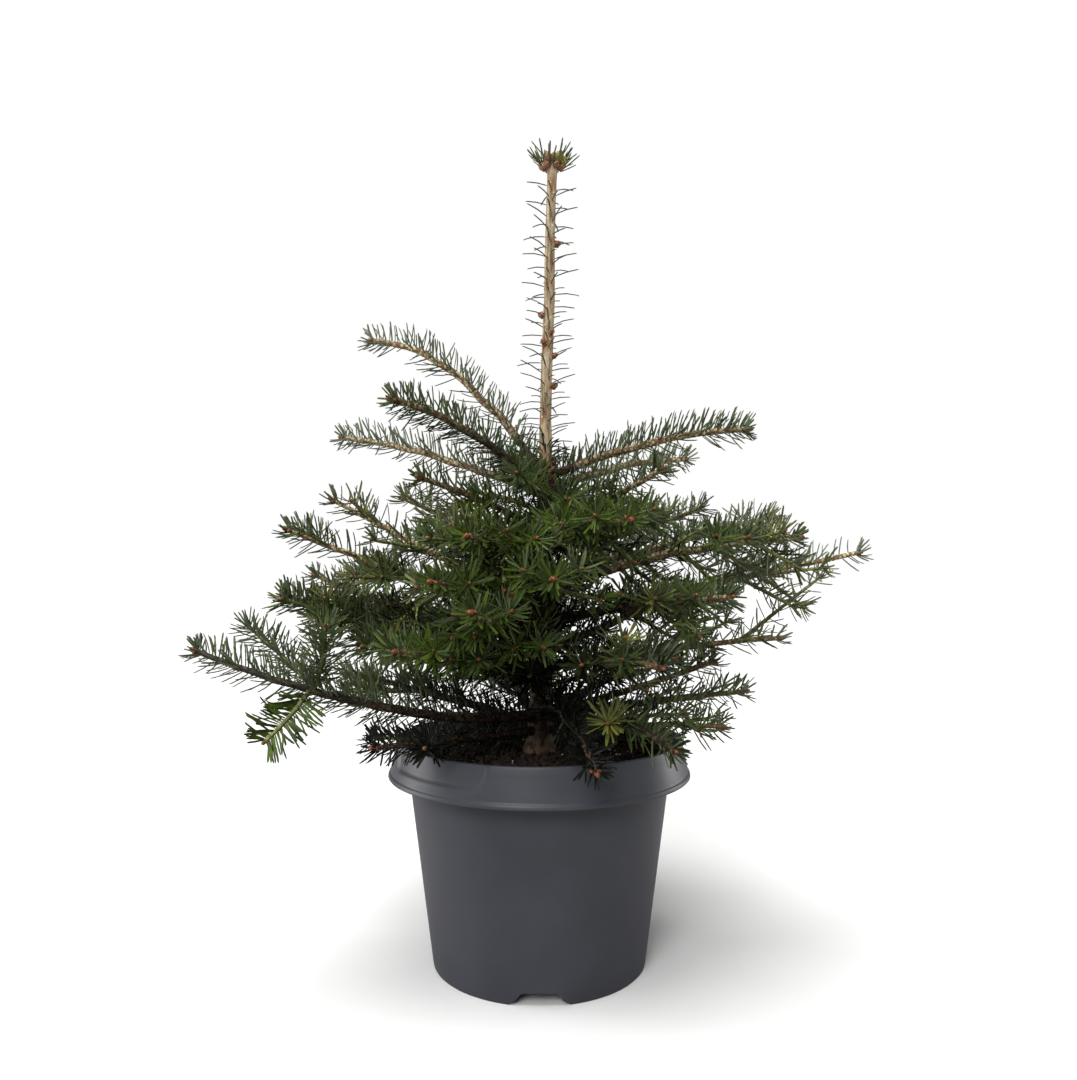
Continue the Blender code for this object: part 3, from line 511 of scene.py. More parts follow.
def polypropylene(settings):
    """Injection-moulded matte polypropylene: an even dark grey with a faint grain that breaks up its highlights."""
    made, tree, shader = new_material("moulded polypropylene")
    place = add(tree, "ShaderNodeTexCoord").outputs["Object"]
    cloud = add(tree, "ShaderNodeTexNoise", {"Scale": 28.0, "Detail": 4.0}, {"Vector": place}).outputs["Fac"]
    grain = add(tree, "ShaderNodeTexNoise", {"Scale": 1400.0, "Detail": 2.0}, {"Vector": place}).outputs["Fac"]
    shade = ramp(tree, cloud, ((0.35, scaled(settings.grey, 0.93)), (0.65, scaled(settings.grey, 1.08))))
    tree.links.new(shade, shader.inputs["Base Color"])
    rough = add(
        tree,
        "ShaderNodeMapRange",
        {"From Min": 0.3, "From Max": 0.7, "To Min": settings.roughness - 0.04, "To Max": settings.roughness + 0.05},
        {"Value": cloud},
    )
    tree.links.new(rough.outputs[0], shader.inputs["Roughness"])
    shader.inputs["IOR"].default_value = 1.49
    shader.inputs["Specular IOR Level"].default_value = 0.40
    bump(tree, shader, grain, 0.00004, 0.5)
    return made


def peat(settings, name, dark, light, spot=0.0):
    """Damp peat with composted bark: nearly black, crumbly and without shine."""
    made, tree, shader = new_material(name)
    place = add(tree, "ShaderNodeTexCoord").outputs["Object"]
    lumps = add(tree, "ShaderNodeTexNoise", {"Scale": 260.0, "Detail": 5.0}, {"Vector": place}).outputs["Fac"]
    fine = add(tree, "ShaderNodeTexNoise", {"Scale": 1500.0, "Detail": 3.0}, {"Vector": place}).outputs["Fac"]
    tree.links.new(ramp(tree, lumps, ((0.38, dark), (0.68, light))), shader.inputs["Base Color"])
    shader.inputs["Roughness"].default_value = 0.92
    shader.inputs["IOR"].default_value = 1.4
    bump(tree, shader, fine, 0.0003, 0.8)
    return made


def perlite(settings):
    """Perlite, blown by heat: off-white, chalky and full of pores."""
    made, tree, shader = new_material("expanded perlite")
    place = add(tree, "ShaderNodeTexCoord").outputs["Object"]
    pores = add(tree, "ShaderNodeTexVoronoi", {"Scale": 1700.0}, {"Vector": place}).outputs["Distance"]
    tree.links.new(
        ramp(tree, pores, ((0.0, scaled(settings.grain, 0.55)), (0.35, settings.grain))), shader.inputs["Base Color"]
    )
    shader.inputs["Roughness"].default_value = 0.95
    bump(tree, shader, pores, 0.0002, 0.6)
    return made


def straw_bark(settings):
    """The leader's one-year bark: straw-coloured ridges and greener grooves that run up the stem, with pale scars."""
    made, tree, shader = new_material("smooth one-year bark")
    place = add(tree, "ShaderNodeTexCoord").outputs["Object"]
    drawn = add(tree, "ShaderNodeMapping", {"Scale": (1.0, 1.0, 0.12)}, {"Vector": place}).outputs[0]
    grooves = add(tree, "ShaderNodeTexNoise", {"Scale": 520.0, "Detail": 3.0}, {"Vector": drawn}).outputs["Fac"]
    patches = add(tree, "ShaderNodeTexNoise", {"Scale": 90.0, "Detail": 3.0}, {"Vector": place}).outputs["Fac"]
    scars = add(tree, "ShaderNodeTexVoronoi", {"Scale": 240.0}, {"Vector": place}).outputs["Distance"]
    base = ramp(
        tree, grooves,
        ((0.36, settings.groove), (0.47, mixed(settings.groove, settings.straw, 0.6)), (0.58, settings.straw)),
    )
    blush = ramp(tree, patches, ((0.45, (1.0, 1.0, 1.0)), (0.62, (0.80, 0.60, 0.50))))
    warm = add(
        tree, "ShaderNodeMix", {"data_type": "RGBA", "blend_type": "MULTIPLY", 0: 1.0}, {6: base, 7: blush}
    ).outputs[2]
    feet = ramp(tree, scars, ((0.10, (1.0, 1.0, 1.0)), (0.20, (0.0, 0.0, 0.0))))
    mix = add(
        tree, "ShaderNodeMix", {"data_type": "RGBA", 7: (*scaled(settings.straw, 1.35), 1.0)}, {0: feet, 6: warm}
    )
    tree.links.new(mix.outputs[2], shader.inputs["Base Color"])
    shader.inputs["Roughness"].default_value = 0.62
    bump(tree, shader, grooves, 0.0007, 0.9)
    return made


def twig_bark(settings, name, light, scar):
    """Twigs: pale cushions where the needles stand, with orange-brown bark between them, both brown with age."""
    made, tree, shader = new_material(name)
    place = add(tree, "ShaderNodeTexCoord").outputs["Object"]
    age = add(tree, "ShaderNodeAttribute", {"attribute_name": "age"}).outputs["Fac"]
    feet = add(tree, "ShaderNodeTexVoronoi", {"Scale": 430.0}, {"Vector": place}).outputs["Distance"]
    tone = add(tree, "ShaderNodeTexNoise", {"Scale": 60.0, "Detail": 3.0}, {"Vector": place}).outputs["Fac"]
    young = ramp(tree, tone, ((0.38, scaled(light, 0.60)), (0.54, light), (0.70, scaled(light, 1.2))))
    old = ramp(tree, tone, ((0.38, scaled(settings.aged, 0.5)), (0.54, settings.aged), (0.70, scaled(settings.aged, 1.7))))
    body = add(tree, "ShaderNodeMix", {"data_type": "RGBA"}, {0: age, 6: young, 7: old}).outputs[2]
    between = ramp(tree, age, ((0.0, scar), (1.0, settings.crack)))
    mask = ramp(tree, feet, ((0.34, (0.0, 0.0, 0.0)), (0.56, (1.0, 1.0, 1.0))))
    mix = add(tree, "ShaderNodeMix", {"data_type": "RGBA"}, {0: mask, 6: body, 7: between})
    tree.links.new(mix.outputs[2], shader.inputs["Base Color"])
    shader.inputs["Roughness"].default_value = 0.72
    bump(tree, shader, feet, 0.0005, 0.7)
    return made


def old_bark(settings):
    """Bark of several years: brown plates over dark cracks, dull and a little dusty."""
    made, tree, shader = new_material("rough old bark")
    place = add(tree, "ShaderNodeTexCoord").outputs["Object"]
    drawn = add(tree, "ShaderNodeMapping", {"Scale": (1.0, 1.0, 0.45)}, {"Vector": place}).outputs[0]
    plates = add(tree, "ShaderNodeTexVoronoi", {"Scale": 330.0}, {"Vector": drawn}).outputs["Distance"]
    tone = add(tree, "ShaderNodeTexNoise", {"Scale": 160.0, "Detail": 5.0}, {"Vector": place}).outputs["Fac"]
    body = ramp(
        tree, tone, ((0.34, settings.crack), (0.48, settings.brown), (0.70, scaled(settings.brown, 1.5)))
    )
    mask = ramp(tree, plates, ((0.52, (0.0, 0.0, 0.0)), (0.78, (1.0, 1.0, 1.0))))
    mix = add(tree, "ShaderNodeMix", {"data_type": "RGBA", 7: (*settings.crack, 1.0)}, {0: mask, 6: body})
    tree.links.new(mix.outputs[2], shader.inputs["Base Color"])
    shader.inputs["Roughness"].default_value = 0.85
    bump(tree, shader, tone, 0.0006, 0.8)
    return made


def needle_top(name, shade):
    """The upper face of a fir needle: an olive green under clear wax, which gives it a soft shine."""
    made, tree, shader = new_material(name)
    place = add(tree, "ShaderNodeTexCoord").outputs["Object"]
    patch = add(tree, "ShaderNodeTexNoise", {"Scale": 70.0, "Detail": 4.0}, {"Vector": place}).outputs["Fac"]
    yellow = (min(1.0, shade[0] * 1.85), min(1.0, shade[1] * 1.75), shade[2] * 1.15)
    tree.links.new(
        ramp(tree, patch, ((0.34, scaled(shade, 0.38)), (0.50, shade), (0.68, yellow))),
        shader.inputs["Base Color"],
    )
    shader.inputs["Roughness"].default_value = 0.45
    shader.inputs["IOR"].default_value = 1.42
    shader.inputs["Specular IOR Level"].default_value = 0.34
    return made


def needle_under(name, shade):
    """The underside of a fir needle: two bands of pale powdery wax, without shine."""
    made, tree, shader = new_material(name)
    place = add(tree, "ShaderNodeTexCoord").outputs["Object"]
    patch = add(tree, "ShaderNodeTexNoise", {"Scale": 90.0, "Detail": 2.0}, {"Vector": place}).outputs["Fac"]
    tree.links.new(
        ramp(tree, patch, ((0.38, scaled(shade, 0.75)), (0.64, scaled(shade, 1.15)))), shader.inputs["Base Color"]
    )
    shader.inputs["Roughness"].default_value = 0.65
    shader.inputs["Specular IOR Level"].default_value = 0.25
    return made


def bud_scales(name, shade):
    """Bud scales sealed with resin: warm, with darker edges and a thin gloss."""
    made, tree, shader = new_material(name)
    place = add(tree, "ShaderNodeTexCoord").outputs["Object"]
    scales = add(tree, "ShaderNodeTexVoronoi", {"Scale": 900.0}, {"Vector": place}).outputs["Distance"]
    tree.links.new(
        ramp(tree, scales, ((0.15, scaled(shade, 1.25)), (0.60, scaled(shade, 0.45)))), shader.inputs["Base Color"]
    )
    shader.inputs["Roughness"].default_value = 0.45
    shader.inputs["Coat Weight"].default_value = 0.12
    shader.inputs["Coat Roughness"].default_value = 0.25
    bump(tree, shader, scales, 0.0002, 0.6)
    return made


def studio_floor(settings):
    """A painted studio floor: pale and matte, with hardly a trace of cloudiness."""
    made, tree, shader = new_material("matte studio paint")
    place = add(tree, "ShaderNodeTexCoord").outputs["Object"]
    cloud = add(tree, "ShaderNodeTexNoise", {"Scale": 3.0, "Detail": 3.0}, {"Vector": place}).outputs["Fac"]
    seen = ramp(tree, cloud, ((0.3, scaled(settings.floor, 0.985)), (0.7, settings.floor)))
    straight = add(tree, "ShaderNodeLightPath").outputs["Is Camera Ray"]
    both = add(
        tree, "ShaderNodeMix", {"data_type": "RGBA", 6: (*settings.bounce, 1.0)}, {0: straight, 7: seen}
    ).outputs[2]
    tree.links.new(both, shader.inputs["Base Color"])
    shader.inputs["Roughness"].default_value = 0.8
    return made


# Meshes


def new_piece(name, vertices, faces, finishes, finish_indices=None, smooth=True):
    """A mesh object whose place is in its vertices."""
    mesh = bpy.data.meshes.new(name)
    mesh.from_pydata([tuple(v) for v in vertices], [], faces)
    for finish in finishes:
        mesh.materials.append(finish)
    if finish_indices is not None:
        mesh.polygons.foreach_set("material_index", finish_indices)
    if smooth:
        mesh.shade_smooth()
    mesh.update()
    obj = bpy.data.objects.new(name, mesh)
    bpy.context.scene.collection.objects.link(obj)
    return obj


def settle_mesh(obj):
    """Replaces the object's mesh by the evaluated one and removes its modifiers."""
    graph = bpy.context.evaluated_depsgraph_get()
    mesh = bpy.data.meshes.new_from_object(obj.evaluated_get(graph))
    obj.modifiers.clear()
    obj.data = mesh


def outward(obj):
    """Turns every face of a closed mesh outwards."""
    mesh = bmesh.new()
    mesh.from_mesh(obj.data)
    bmesh.ops.recalc_face_normals(mesh, faces=mesh.faces)
    mesh.to_mesh(obj.data)
    mesh.free()


def finish_piece(obj, slot, *nodes):
    """Enters a finished piece in the frame: it rides on the plant and stands for its nodes, which it hides. The slot is
    not used.
    """
    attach(obj, "root")
    if nodes:
        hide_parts(*nodes)


def heading(azimuth):
    """The level direction at this azimuth, in degrees."""
    angle = math.radians(azimuth)
    return Vector((math.cos(angle), math.sin(angle), 0.0))


# Pot


def inner_wall_radius(height):
    """The pot's inner radius at a height between its floor and its rim."""
    share = (height - BASE_LIFT) / (LIP_HEIGHT - BASE_LIFT)
    floor = FOOT_RADIUS + (NECK_RADIUS - FOOT_RADIUS) * BASE_LIFT / LIP_HEIGHT - WALL
    return floor + (NECK_RADIUS - WALL - floor) * share


def rim_face_radius(height):
    """The rim's outer radius at a height."""
    share = (height - LIP_HEIGHT) / (POT_HEIGHT - LIP_HEIGHT)
    return LIP_RADIUS + (RIM_TOP_RADIUS - LIP_RADIUS) * share


def rounded(corners, steps=5):
    """A profile through (radius, height, fillet) corners, each rounded by its own fillet."""
    points = []
    for i, (radius, height, fillet) in enumerate(corners):
        here = Vector((radius, height))
        if fillet == 0.0 or i in (0, len(corners) - 1):
            points.append(here)
            continue
        before, after = Vector(corners[i - 1][:2]) - here, Vector(corners[i + 1][:2]) - here
        start = here + before.normalized() * min(fillet, before.length * 0.45)
        end = here + after.normalized() * min(fillet, after.length * 0.45)
        for k in range(steps + 1):
            t = k / steps
            points.append(start * (1 - t) ** 2 + here * (2 * t * (1 - t)) + end * t * t)
    return points


def pot_profile(settings):
    """Radius and height round the pot's wall: under the base, up the outside, over the rim and down inside."""
    skirt = FOOT_RADIUS - SKIRT_WIDTH
    rim_slope = (LIP_RADIUS - RIM_TOP_RADIUS) / (POT_HEIGHT - LIP_HEIGHT)
    groove_top = POT_HEIGHT - 2.5 * WALL
    groove_radius = RIM_TOP_RADIUS + rim_slope * (POT_HEIGHT - groove_top) - WALL
    floor = BASE_LIFT + WALL
    fillet, bead = settings.fillet, settings.bead
    corners = [
        (0.0, 0.0, 0.0),
        (HUB_RADIUS, 0.0, fillet),
        (HUB_RADIUS + 0.003, BASE_LIFT, fillet),
        (skirt - 0.001, BASE_LIFT, fillet),
        (skirt, 0.0, fillet / 2),
        (FOOT_RADIUS, 0.0, fillet),
        *[(FOOT_RADIUS + (NECK_RADIUS - FOOT_RADIUS) * k / 10, LIP_HEIGHT * k / 10, 0.0) for k in range(1, 10)],
        (NECK_RADIUS, LIP_HEIGHT, 0.0),
        (groove_radius - 0.0020, groove_top, fillet),
        (groove_radius, groove_top, fillet / 2),
        (LIP_RADIUS - WALL, LIP_HEIGHT, fillet / 2),
        (LIP_RADIUS + bead, LIP_HEIGHT, fillet),
        (rim_face_radius(LIP_HEIGHT + 0.0024) + bead, LIP_HEIGHT + 0.0024, fillet),
        (rim_face_radius(LIP_HEIGHT + 0.0034), LIP_HEIGHT + 0.0034, fillet),
        *[(rim_face_radius(LIP_HEIGHT + 0.001 * k), LIP_HEIGHT + 0.001 * k, 0.0) for k in range(5, 18)],
        (RIM_TOP_RADIUS + 0.0010, POT_HEIGHT - 0.0044, 0.0020),
        (RIM_TOP_RADIUS, POT_HEIGHT, fillet),
        (RIM_TOP_RADIUS - 0.0022, POT_HEIGHT, fillet),
        (NECK_RADIUS - WALL, LIP_HEIGHT, 0.0020),
        (inner_wall_radius(floor), floor, 0.0020),
        (HUB_RADIUS, floor, 0.0010),
        (HUB_RADIUS - 0.003, WALL, 0.0010),
        (0.0, WALL, 0.0),
    ]
    return [(point.x, point.y) for point in rounded(corners)]


def turned(name, profile, segments, finish):
    """A closed solid made by turning a profile, given from its lowest to its highest axis point, about Z."""
    vertices, faces, starts = [], [], []
    for radius, height in profile:
        starts.append(len(vertices))
        count = 1 if radius < 1e-9 else segments
        for i in range(count):
            angle = math.tau * i / segments
            vertices.append((radius * math.cos(angle), radius * math.sin(angle), height))
    starts.append(len(vertices))
    for level in range(len(profile) - 1):
        low, high = starts[level], starts[level + 1]
        below, above = high - low, starts[level + 2] - high
        for i in range(segments):
            j = (i + 1) % segments
            ring = (low + i % below, low + j % below, high + j % above, high + i % above)
            faces.append(tuple(dict.fromkeys(ring)))
    obj = new_piece(name, vertices, faces, [finish])
    outward(obj)
    return obj


def prism(name, outline, start, end, finish):
    """A prism between two planes across X, from an outline of (y, z) points."""
    count = len(outline)
    vertices = [(x, y, z) for x in (start, end) for y, z in outline]
    sides = [(i, (i + 1) % count, count + (i + 1) % count, count + i) for i in range(count)]
    obj = new_piece(name, vertices, [tuple(range(count)), tuple(range(count, 2 * count)), *sides], [finish])
    outward(obj)
    return obj


def notch_cutters(finish):
    """Trapezoid cutters with round upper corners for the drain notches in the pot's foot ring."""
    foot, top = NOTCH_FOOT_WIDTH / 2, NOTCH_TOP_WIDTH / 2
    knee = NOTCH_HEIGHT * 0.35
    corners = [
        (foot + 0.002, -0.002, 0.0),
        (foot + 0.002, -0.001, 0.0),
        (foot - 0.0045, knee, 0.002),
        (top, NOTCH_HEIGHT, 0.0025),
        (-top, NOTCH_HEIGHT, 0.0025),
        (-foot + 0.0045, knee, 0.002),
        (-foot - 0.002, -0.001, 0.0),
        (-foot - 0.002, -0.002, 0.0),
    ]
    outline = [(p.x, p.y) for p in rounded(corners, 4)]
    cutters = []
    for i in range(NOTCH_COUNT):
        cutter = prism(f"notch_cutter_{i}", outline, FOOT_RADIUS - 0.010, FOOT_RADIUS + 0.006, finish)
        cutter.rotation_euler.z = math.radians(270.0 + 360.0 * i / NOTCH_COUNT)
        cutters.append(cutter)
    return cutters


def drain_cutters(finish):
    """Round cutters for the drain holes in the raised part of the base."""
    cutters = []
    for i in range(DRAIN_HOLE_COUNT):
        centre = heading(360.0 * (i + 0.5) / DRAIN_HOLE_COUNT) * DRAIN_RING_RADIUS
        profile = [(0.0, -0.006), (DRAIN_HOLE_RADIUS, -0.006), (DRAIN_HOLE_RADIUS, 0.006), (0.0, 0.006)]
        cutter = turned(f"drain_cutter_{i}", profile, 32, finish)
        cutter.location = (centre.x, centre.y, BASE_LIFT)
        cutters.append(cutter)
    return cutters


def panel_depth(azimuth, height, edge):
    """How far the rim's shallow panels lie back at a place on its face, with a soft step round them."""
    deepest = 0.0
    for middle in PANEL_AZIMUTHS:
        away = abs((azimuth - middle + 180.0) % 360.0 - 180.0)
        across = math.radians(PANEL_SPAN / 2 - away) * LIP_RADIUS
        above = height - PANEL_FOOT_HEIGHT
        corner = 0.010
        inside = min(across, above)
        if across < corner and above < corner:
            inside = corner - math.hypot(corner - across, corner - above)
        share = min(1.0, max(0.0, inside / edge + 0.5))
        deepest = max(deepest, PANEL_DEPTH * share * share * (3.0 - 2.0 * share))
    return deepest


def sink_panels(pot, edge):
    """Moves the rim's outer face back where its panels are."""
    for vertex in pot.data.vertices:
        x, y, z = vertex.co
        away = math.hypot(x, y)
        if z < LIP_HEIGHT + 0.0036 or away < rim_face_radius(z) - 0.0008:
            continue
        depth = panel_depth(math.degrees(math.atan2(y, x)), z, edge)
        vertex.co.x -= x / away * depth
        vertex.co.y -= y / away * depth


def cut(obj, cutters):
    """Takes the cutters' shapes out of an object with one Boolean on a collection."""
    group = bpy.data.collections.new(obj.name + " cutters")
    for cutter in cutters:
        bpy.context.scene.collection.objects.unlink(cutter)
        group.objects.link(cutter)
    bpy.context.scene.collection.children.link(group)
    bpy.context.view_layer.update()
    boolean = obj.modifiers.new("cut", "BOOLEAN")
    boolean.operation = "DIFFERENCE"
    boolean.solver = "EXACT"
    boolean.operand_type = "COLLECTION"
    boolean.collection = group
    settle_mesh(obj)
    for cutter in cutters:
        bpy.data.objects.remove(cutter)
    bpy.data.collections.remove(group)


class FIR_OT_pot(bpy.types.Operator):
    """Builds the pot with its beaded rim, notched foot ring, drain holes and shallow rim panels"""

    bl_idname = "fir.pot"
    bl_label = "Pot"

    def execute(self, context):
        settings = context.scene.fir_pot
        finish = polypropylene(settings)
        pot = turned("nursery_pot", pot_profile(settings), POT_SEGMENTS, finish)
        sink_panels(pot, settings.panel_edge)
        cut(pot, notch_cutters(finish) + drain_cutters(finish))
        pot.data.shade_smooth()
        pot.data.set_sharp_from_angle(angle=math.radians(32.0))
        finish_piece(pot, "pot", "pot")
        return {"FINISHED"}


# Growth by Geometry Nodes


def set_out_tree():
    """A node tree that sets shapes out on points, each turned along its point's way with its face to its facing."""
    tree = bpy.data.node_groups.new("set out shapes", "GeometryNodeTree")
    inputs = {}
    for name, kind in (
        ("Points", "NodeSocketGeometry"),
        ("Shapes", "NodeSocketCollection"),
        ("Size", "NodeSocketFloat"),
        ("Width", "NodeSocketFloat"),
        ("Seed", "NodeSocketInt"),
        ("Finish", "NodeSocketMaterial"),
        ("Under Finish", "NodeSocketMaterial"),
    ):
        inputs[name] = tree.interface.new_socket(name, in_out="INPUT", socket_type=kind).identifier
    tree.interface.new_socket("Mesh", in_out="OUTPUT", socket_type="NodeSocketGeometry")
    given = add(tree, "NodeGroupInput").outputs
    shapes = add(
        tree, "GeometryNodeCollectionInfo", {"Separate Children": True, "Reset Children": True},
        {"Collection": given["Shapes"]},
    )
    way = add(tree, "GeometryNodeInputNamedAttribute", {"data_type": "FLOAT_VECTOR", "Name": "way"})
    facing = add(tree, "GeometryNodeInputNamedAttribute", {"data_type": "FLOAT_VECTOR", "Name": "facing"})
    scale = add(tree, "GeometryNodeInputNamedAttribute", {"data_type": "FLOAT_VECTOR", "Name": "scale"})
    upright = add(tree, "FunctionNodeAlignRotationToVector", {"axis": "Z"}, {"Vector": way.outputs[0]})
    turned_to = add(
        tree, "FunctionNodeAlignRotationToVector", {"axis": "Y", "pivot_axis": "Z"},
        {"Rotation": upright.outputs[0], "Vector": facing.outputs[0]},
    )
    choice = add(tree, "FunctionNodeRandomValue", {"data_type": "INT", 4: 0, 5: 63}, {"Seed": given["Seed"]})
    spread = add(
        tree, "ShaderNodeCombineXYZ", {},
        {"X": given["Width"], "Y": given["Size"], "Z": given["Size"]},
    )
    full = add(
        tree, "ShaderNodeVectorMath", {"operation": "MULTIPLY"}, {0: scale.outputs[0], 1: spread.outputs[0]}
    )
    placed = add(
        tree, "GeometryNodeInstanceOnPoints", {"Pick Instance": True},
        {
            "Points": given["Points"],
            "Instance": shapes.outputs[0],
            "Instance Index": choice.outputs[2],
            "Rotation": turned_to.outputs[0],
            "Scale": full.outputs[0],
        },
    )
    real = add(tree, "GeometryNodeRealizeInstances", {}, {"Geometry": placed.outputs[0]})
    top = add(tree, "GeometryNodeSetMaterial", {}, {"Geometry": real.outputs[0], "Material": given["Finish"]})
    under = add(tree, "GeometryNodeInputNamedAttribute", {"data_type": "BOOLEAN", "Name": "under"})
    below = add(
        tree, "GeometryNodeSetMaterial", {},
        {"Geometry": top.outputs[0], "Selection": under.outputs[0], "Material": given["Under Finish"]},
    )
    add(tree, "NodeGroupOutput", {}, {0: below.outputs[0]})
    return tree, inputs


# A place for one small shape: where it stands, the way it points, the way its face looks, and its scale
Place = namedtuple("Place", "at way facing scale")


def set_out(name, places, shapes, finish, under=None, size=1.0, width=1.0, seed=1):
    """A plain mesh of small shapes on their places. The shapes themselves are left for the caller to remove."""
    tree, inputs = set_out_tree()
    mesh = bpy.data.meshes.new(name)
    mesh.from_pydata([tuple(p.at) for p in places], [], [])
    for field in ("way", "facing", "scale"):
        values = np.array([tuple(getattr(p, field)) for p in places], dtype=np.float32)
        mesh.attributes.new(field, "FLOAT_VECTOR", "POINT").data.foreach_set("vector", values.ravel())
    obj = bpy.data.objects.new(name, mesh)
    bpy.context.scene.collection.objects.link(obj)
    growth = obj.modifiers.new("set out", "NODES")
    growth.node_group = tree
    growth[inputs["Shapes"]] = shapes
    growth[inputs["Size"]] = size
    growth[inputs["Width"]] = width
    growth[inputs["Seed"]] = seed
    growth[inputs["Finish"]] = finish
    growth[inputs["Under Finish"]] = under or finish
    settle_mesh(obj)
    bpy.data.node_groups.remove(tree)
    for attribute in ("way", "facing", "scale", "under"):
        if attribute in obj.data.attributes:
            obj.data.attributes.remove(obj.data.attributes[attribute])
    if not obj.data.polygons:
        raise RuntimeError(f"{name} has no faces")
    return obj


def shape_group(name, makers):
    """A collection of the small shapes that the makers return."""
    group = bpy.data.collections.new(name)
    bpy.context.scene.collection.children.link(group)
    for shape in makers:
        bpy.context.scene.collection.objects.unlink(shape)
        group.objects.link(shape)
    return group


def drop_group(group):
    for shape in list(group.objects):
        bpy.data.objects.remove(shape)
    bpy.data.collections.remove(group)


# Potting mix


def mix_height(x, y, lump):
    """The height of the potting mix's surface: lumpy, and level round the trunk."""
    away = math.hypot(x, y)
    calm = min(1.0, max(0.0, (away - SOIL_FLAT_RADIUS * 0.7) / 0.012))
    rough = noise.noise(Vector((x * 45.0, y * 45.0, 3.0))) + 0.5 * noise.noise(Vector((x * 130.0, y * 130.0, 7.0)))
    return SOIL_HEIGHT + lump * rough * calm


def crumb(name, seed, flatness):
    """A rough crumb about one unit across."""
    rng = random.Random(seed)
    mesh = bmesh.new()
    bmesh.ops.create_icosphere(mesh, subdivisions=1, radius=0.5)
    for vertex in mesh.verts:
        vertex.co *= rng.uniform(0.62, 1.15)
        vertex.co.z *= flatness
    data = bpy.data.meshes.new(name)
    mesh.to_mesh(data)
    mesh.free()
    obj = bpy.data.objects.new(name, data)
    bpy.context.scene.collection.objects.link(obj)
    return obj


def scatter(count, rng, smallest, largest, lump, inner, outer):
    """Places on the potting mix's surface for crumbs of a range of sizes, the small ones more common."""
    places = []
    for _ in range(count):
        away = math.sqrt(rng.uniform(inner ** 2, outer ** 2))
        angle = rng.uniform(0.0, math.tau)
        x, y = away * math.cos(angle), away * math.sin(angle)
        across = smallest + (largest - smallest) * rng.random() ** 3
        tilt = Vector((rng.uniform(-1, 1), rng.uniform(-1, 1), rng.uniform(0.2, 1.0))).normalized()
        turn = heading(rng.uniform(0.0, 360.0))
        at = Vector((x, y, mix_height(x, y, lump) + across * 0.22))
        places.append(Place(at, tilt, turn, (across * rng.uniform(0.7, 1.5), across, across)))
    return places


class FIR_OT_potting_mix(bpy.types.Operator):
    """Builds the potting mix with its loose crumbs and perlite grains"""

    bl_idname = "fir.potting_mix"
    bl_label = "Potting mix"

    def execute(self, context):
        settings = context.scene.fir_mix
        floor = BASE_LIFT + WALL + SOIL_GAP
        rings = [SOIL_RADIUS * math.sqrt(1.0 - k / 36) for k in range(36)]
        profile = [
            (0.0, WALL + SOIL_GAP),
            (HUB_RADIUS - 0.004, WALL + SOIL_GAP),
            (HUB_RADIUS - 0.001, floor),
            (inner_wall_radius(floor) - 0.003, floor),
            (NECK_RADIUS - WALL - 0.002, LIP_HEIGHT),
            *[(radius, SOIL_HEIGHT) for radius in rings],
            (0.0, SOIL_HEIGHT),
        ]
        finish = peat(settings, "damp peat", settings.dark, settings.light)
        bed = turned("mix_bed", profile, 144, finish)
        for vertex in bed.data.vertices:
            if vertex.co.z > SOIL_HEIGHT - 0.0001:
                vertex.co.z = mix_height(vertex.co.x, vertex.co.y, settings.lump)
        finish_piece(bed, "potting_mix", "potting_mix")
        group = shape_group("crumb shapes", [crumb(f"crumb_{i}", 40 + i, f) for i, f in enumerate((0.9, 0.6, 0.4))])
        rng = random.Random(11)
        places = scatter(settings.crumbs, rng, 0.0010, 0.0058, settings.lump, 0.0112, SOIL_RADIUS - 0.0015)
        loose = peat(settings, "dry bark crumbs", scaled(settings.dark, 1.6), scaled(settings.light, 1.25))
        crumbs = set_out("mix_crumbs", places, group, loose, seed=3)
        finish_piece(crumbs, "potting_mix", "potting_mix")
        places = scatter(settings.perlite, rng, 0.0012, 0.0032, settings.lump, 0.0150, SOIL_RADIUS - 0.0015)
        grains = set_out("perlite_grains", places, group, perlite(settings), seed=5)
        finish_piece(grains, "potting_mix", "potting_mix")
        drop_group(group)
        return {"FINISHED"}


# Paths


def trunk_at(height):
    """(axis point, radius) of the trunk at a height."""
    heights = [s[0] for s in TRUNK_STATIONS]
    radius = float(np.interp(height, heights, [s[1] for s in TRUNK_STATIONS]))
    lean = float(np.interp(height, heights, [s[2] for s in TRUNK_STATIONS]))
    return Vector((lean, 0.0, height)), radius


def branch_point(branch, share):
    """A point of a branch's axis, from the trunk's surface at share 0 to its end bud at share 1."""
    axis, thick = trunk_at(branch.foot)
    ray = heading(branch.azimuth)
    left = Vector((-ray.y, ray.x, 0.0))
    start = thick + CLEARANCE
    bow = 4.0 * share * (1.0 - share)
    point = axis + ray * (start + (branch.reach - start) * share) + left * (branch.sweep * bow)
    point.z = branch.foot + (branch.tip - branch.foot) * share + branch.arch * bow
    return point


def branch_radius(branch, share):
    return branch.radius + (SHOOT_TIP_RADIUS - branch.radius) * share ** 0.8


def branch_axis(branch, start, end):
    """Points of a branch's axis between two shares of its length."""
    count = max(3, round(branch.reach * (end - start) / SAMPLE_STEP))
    return [branch_point(branch, start + (end - start) * i / count) for i in range(count + 1)]


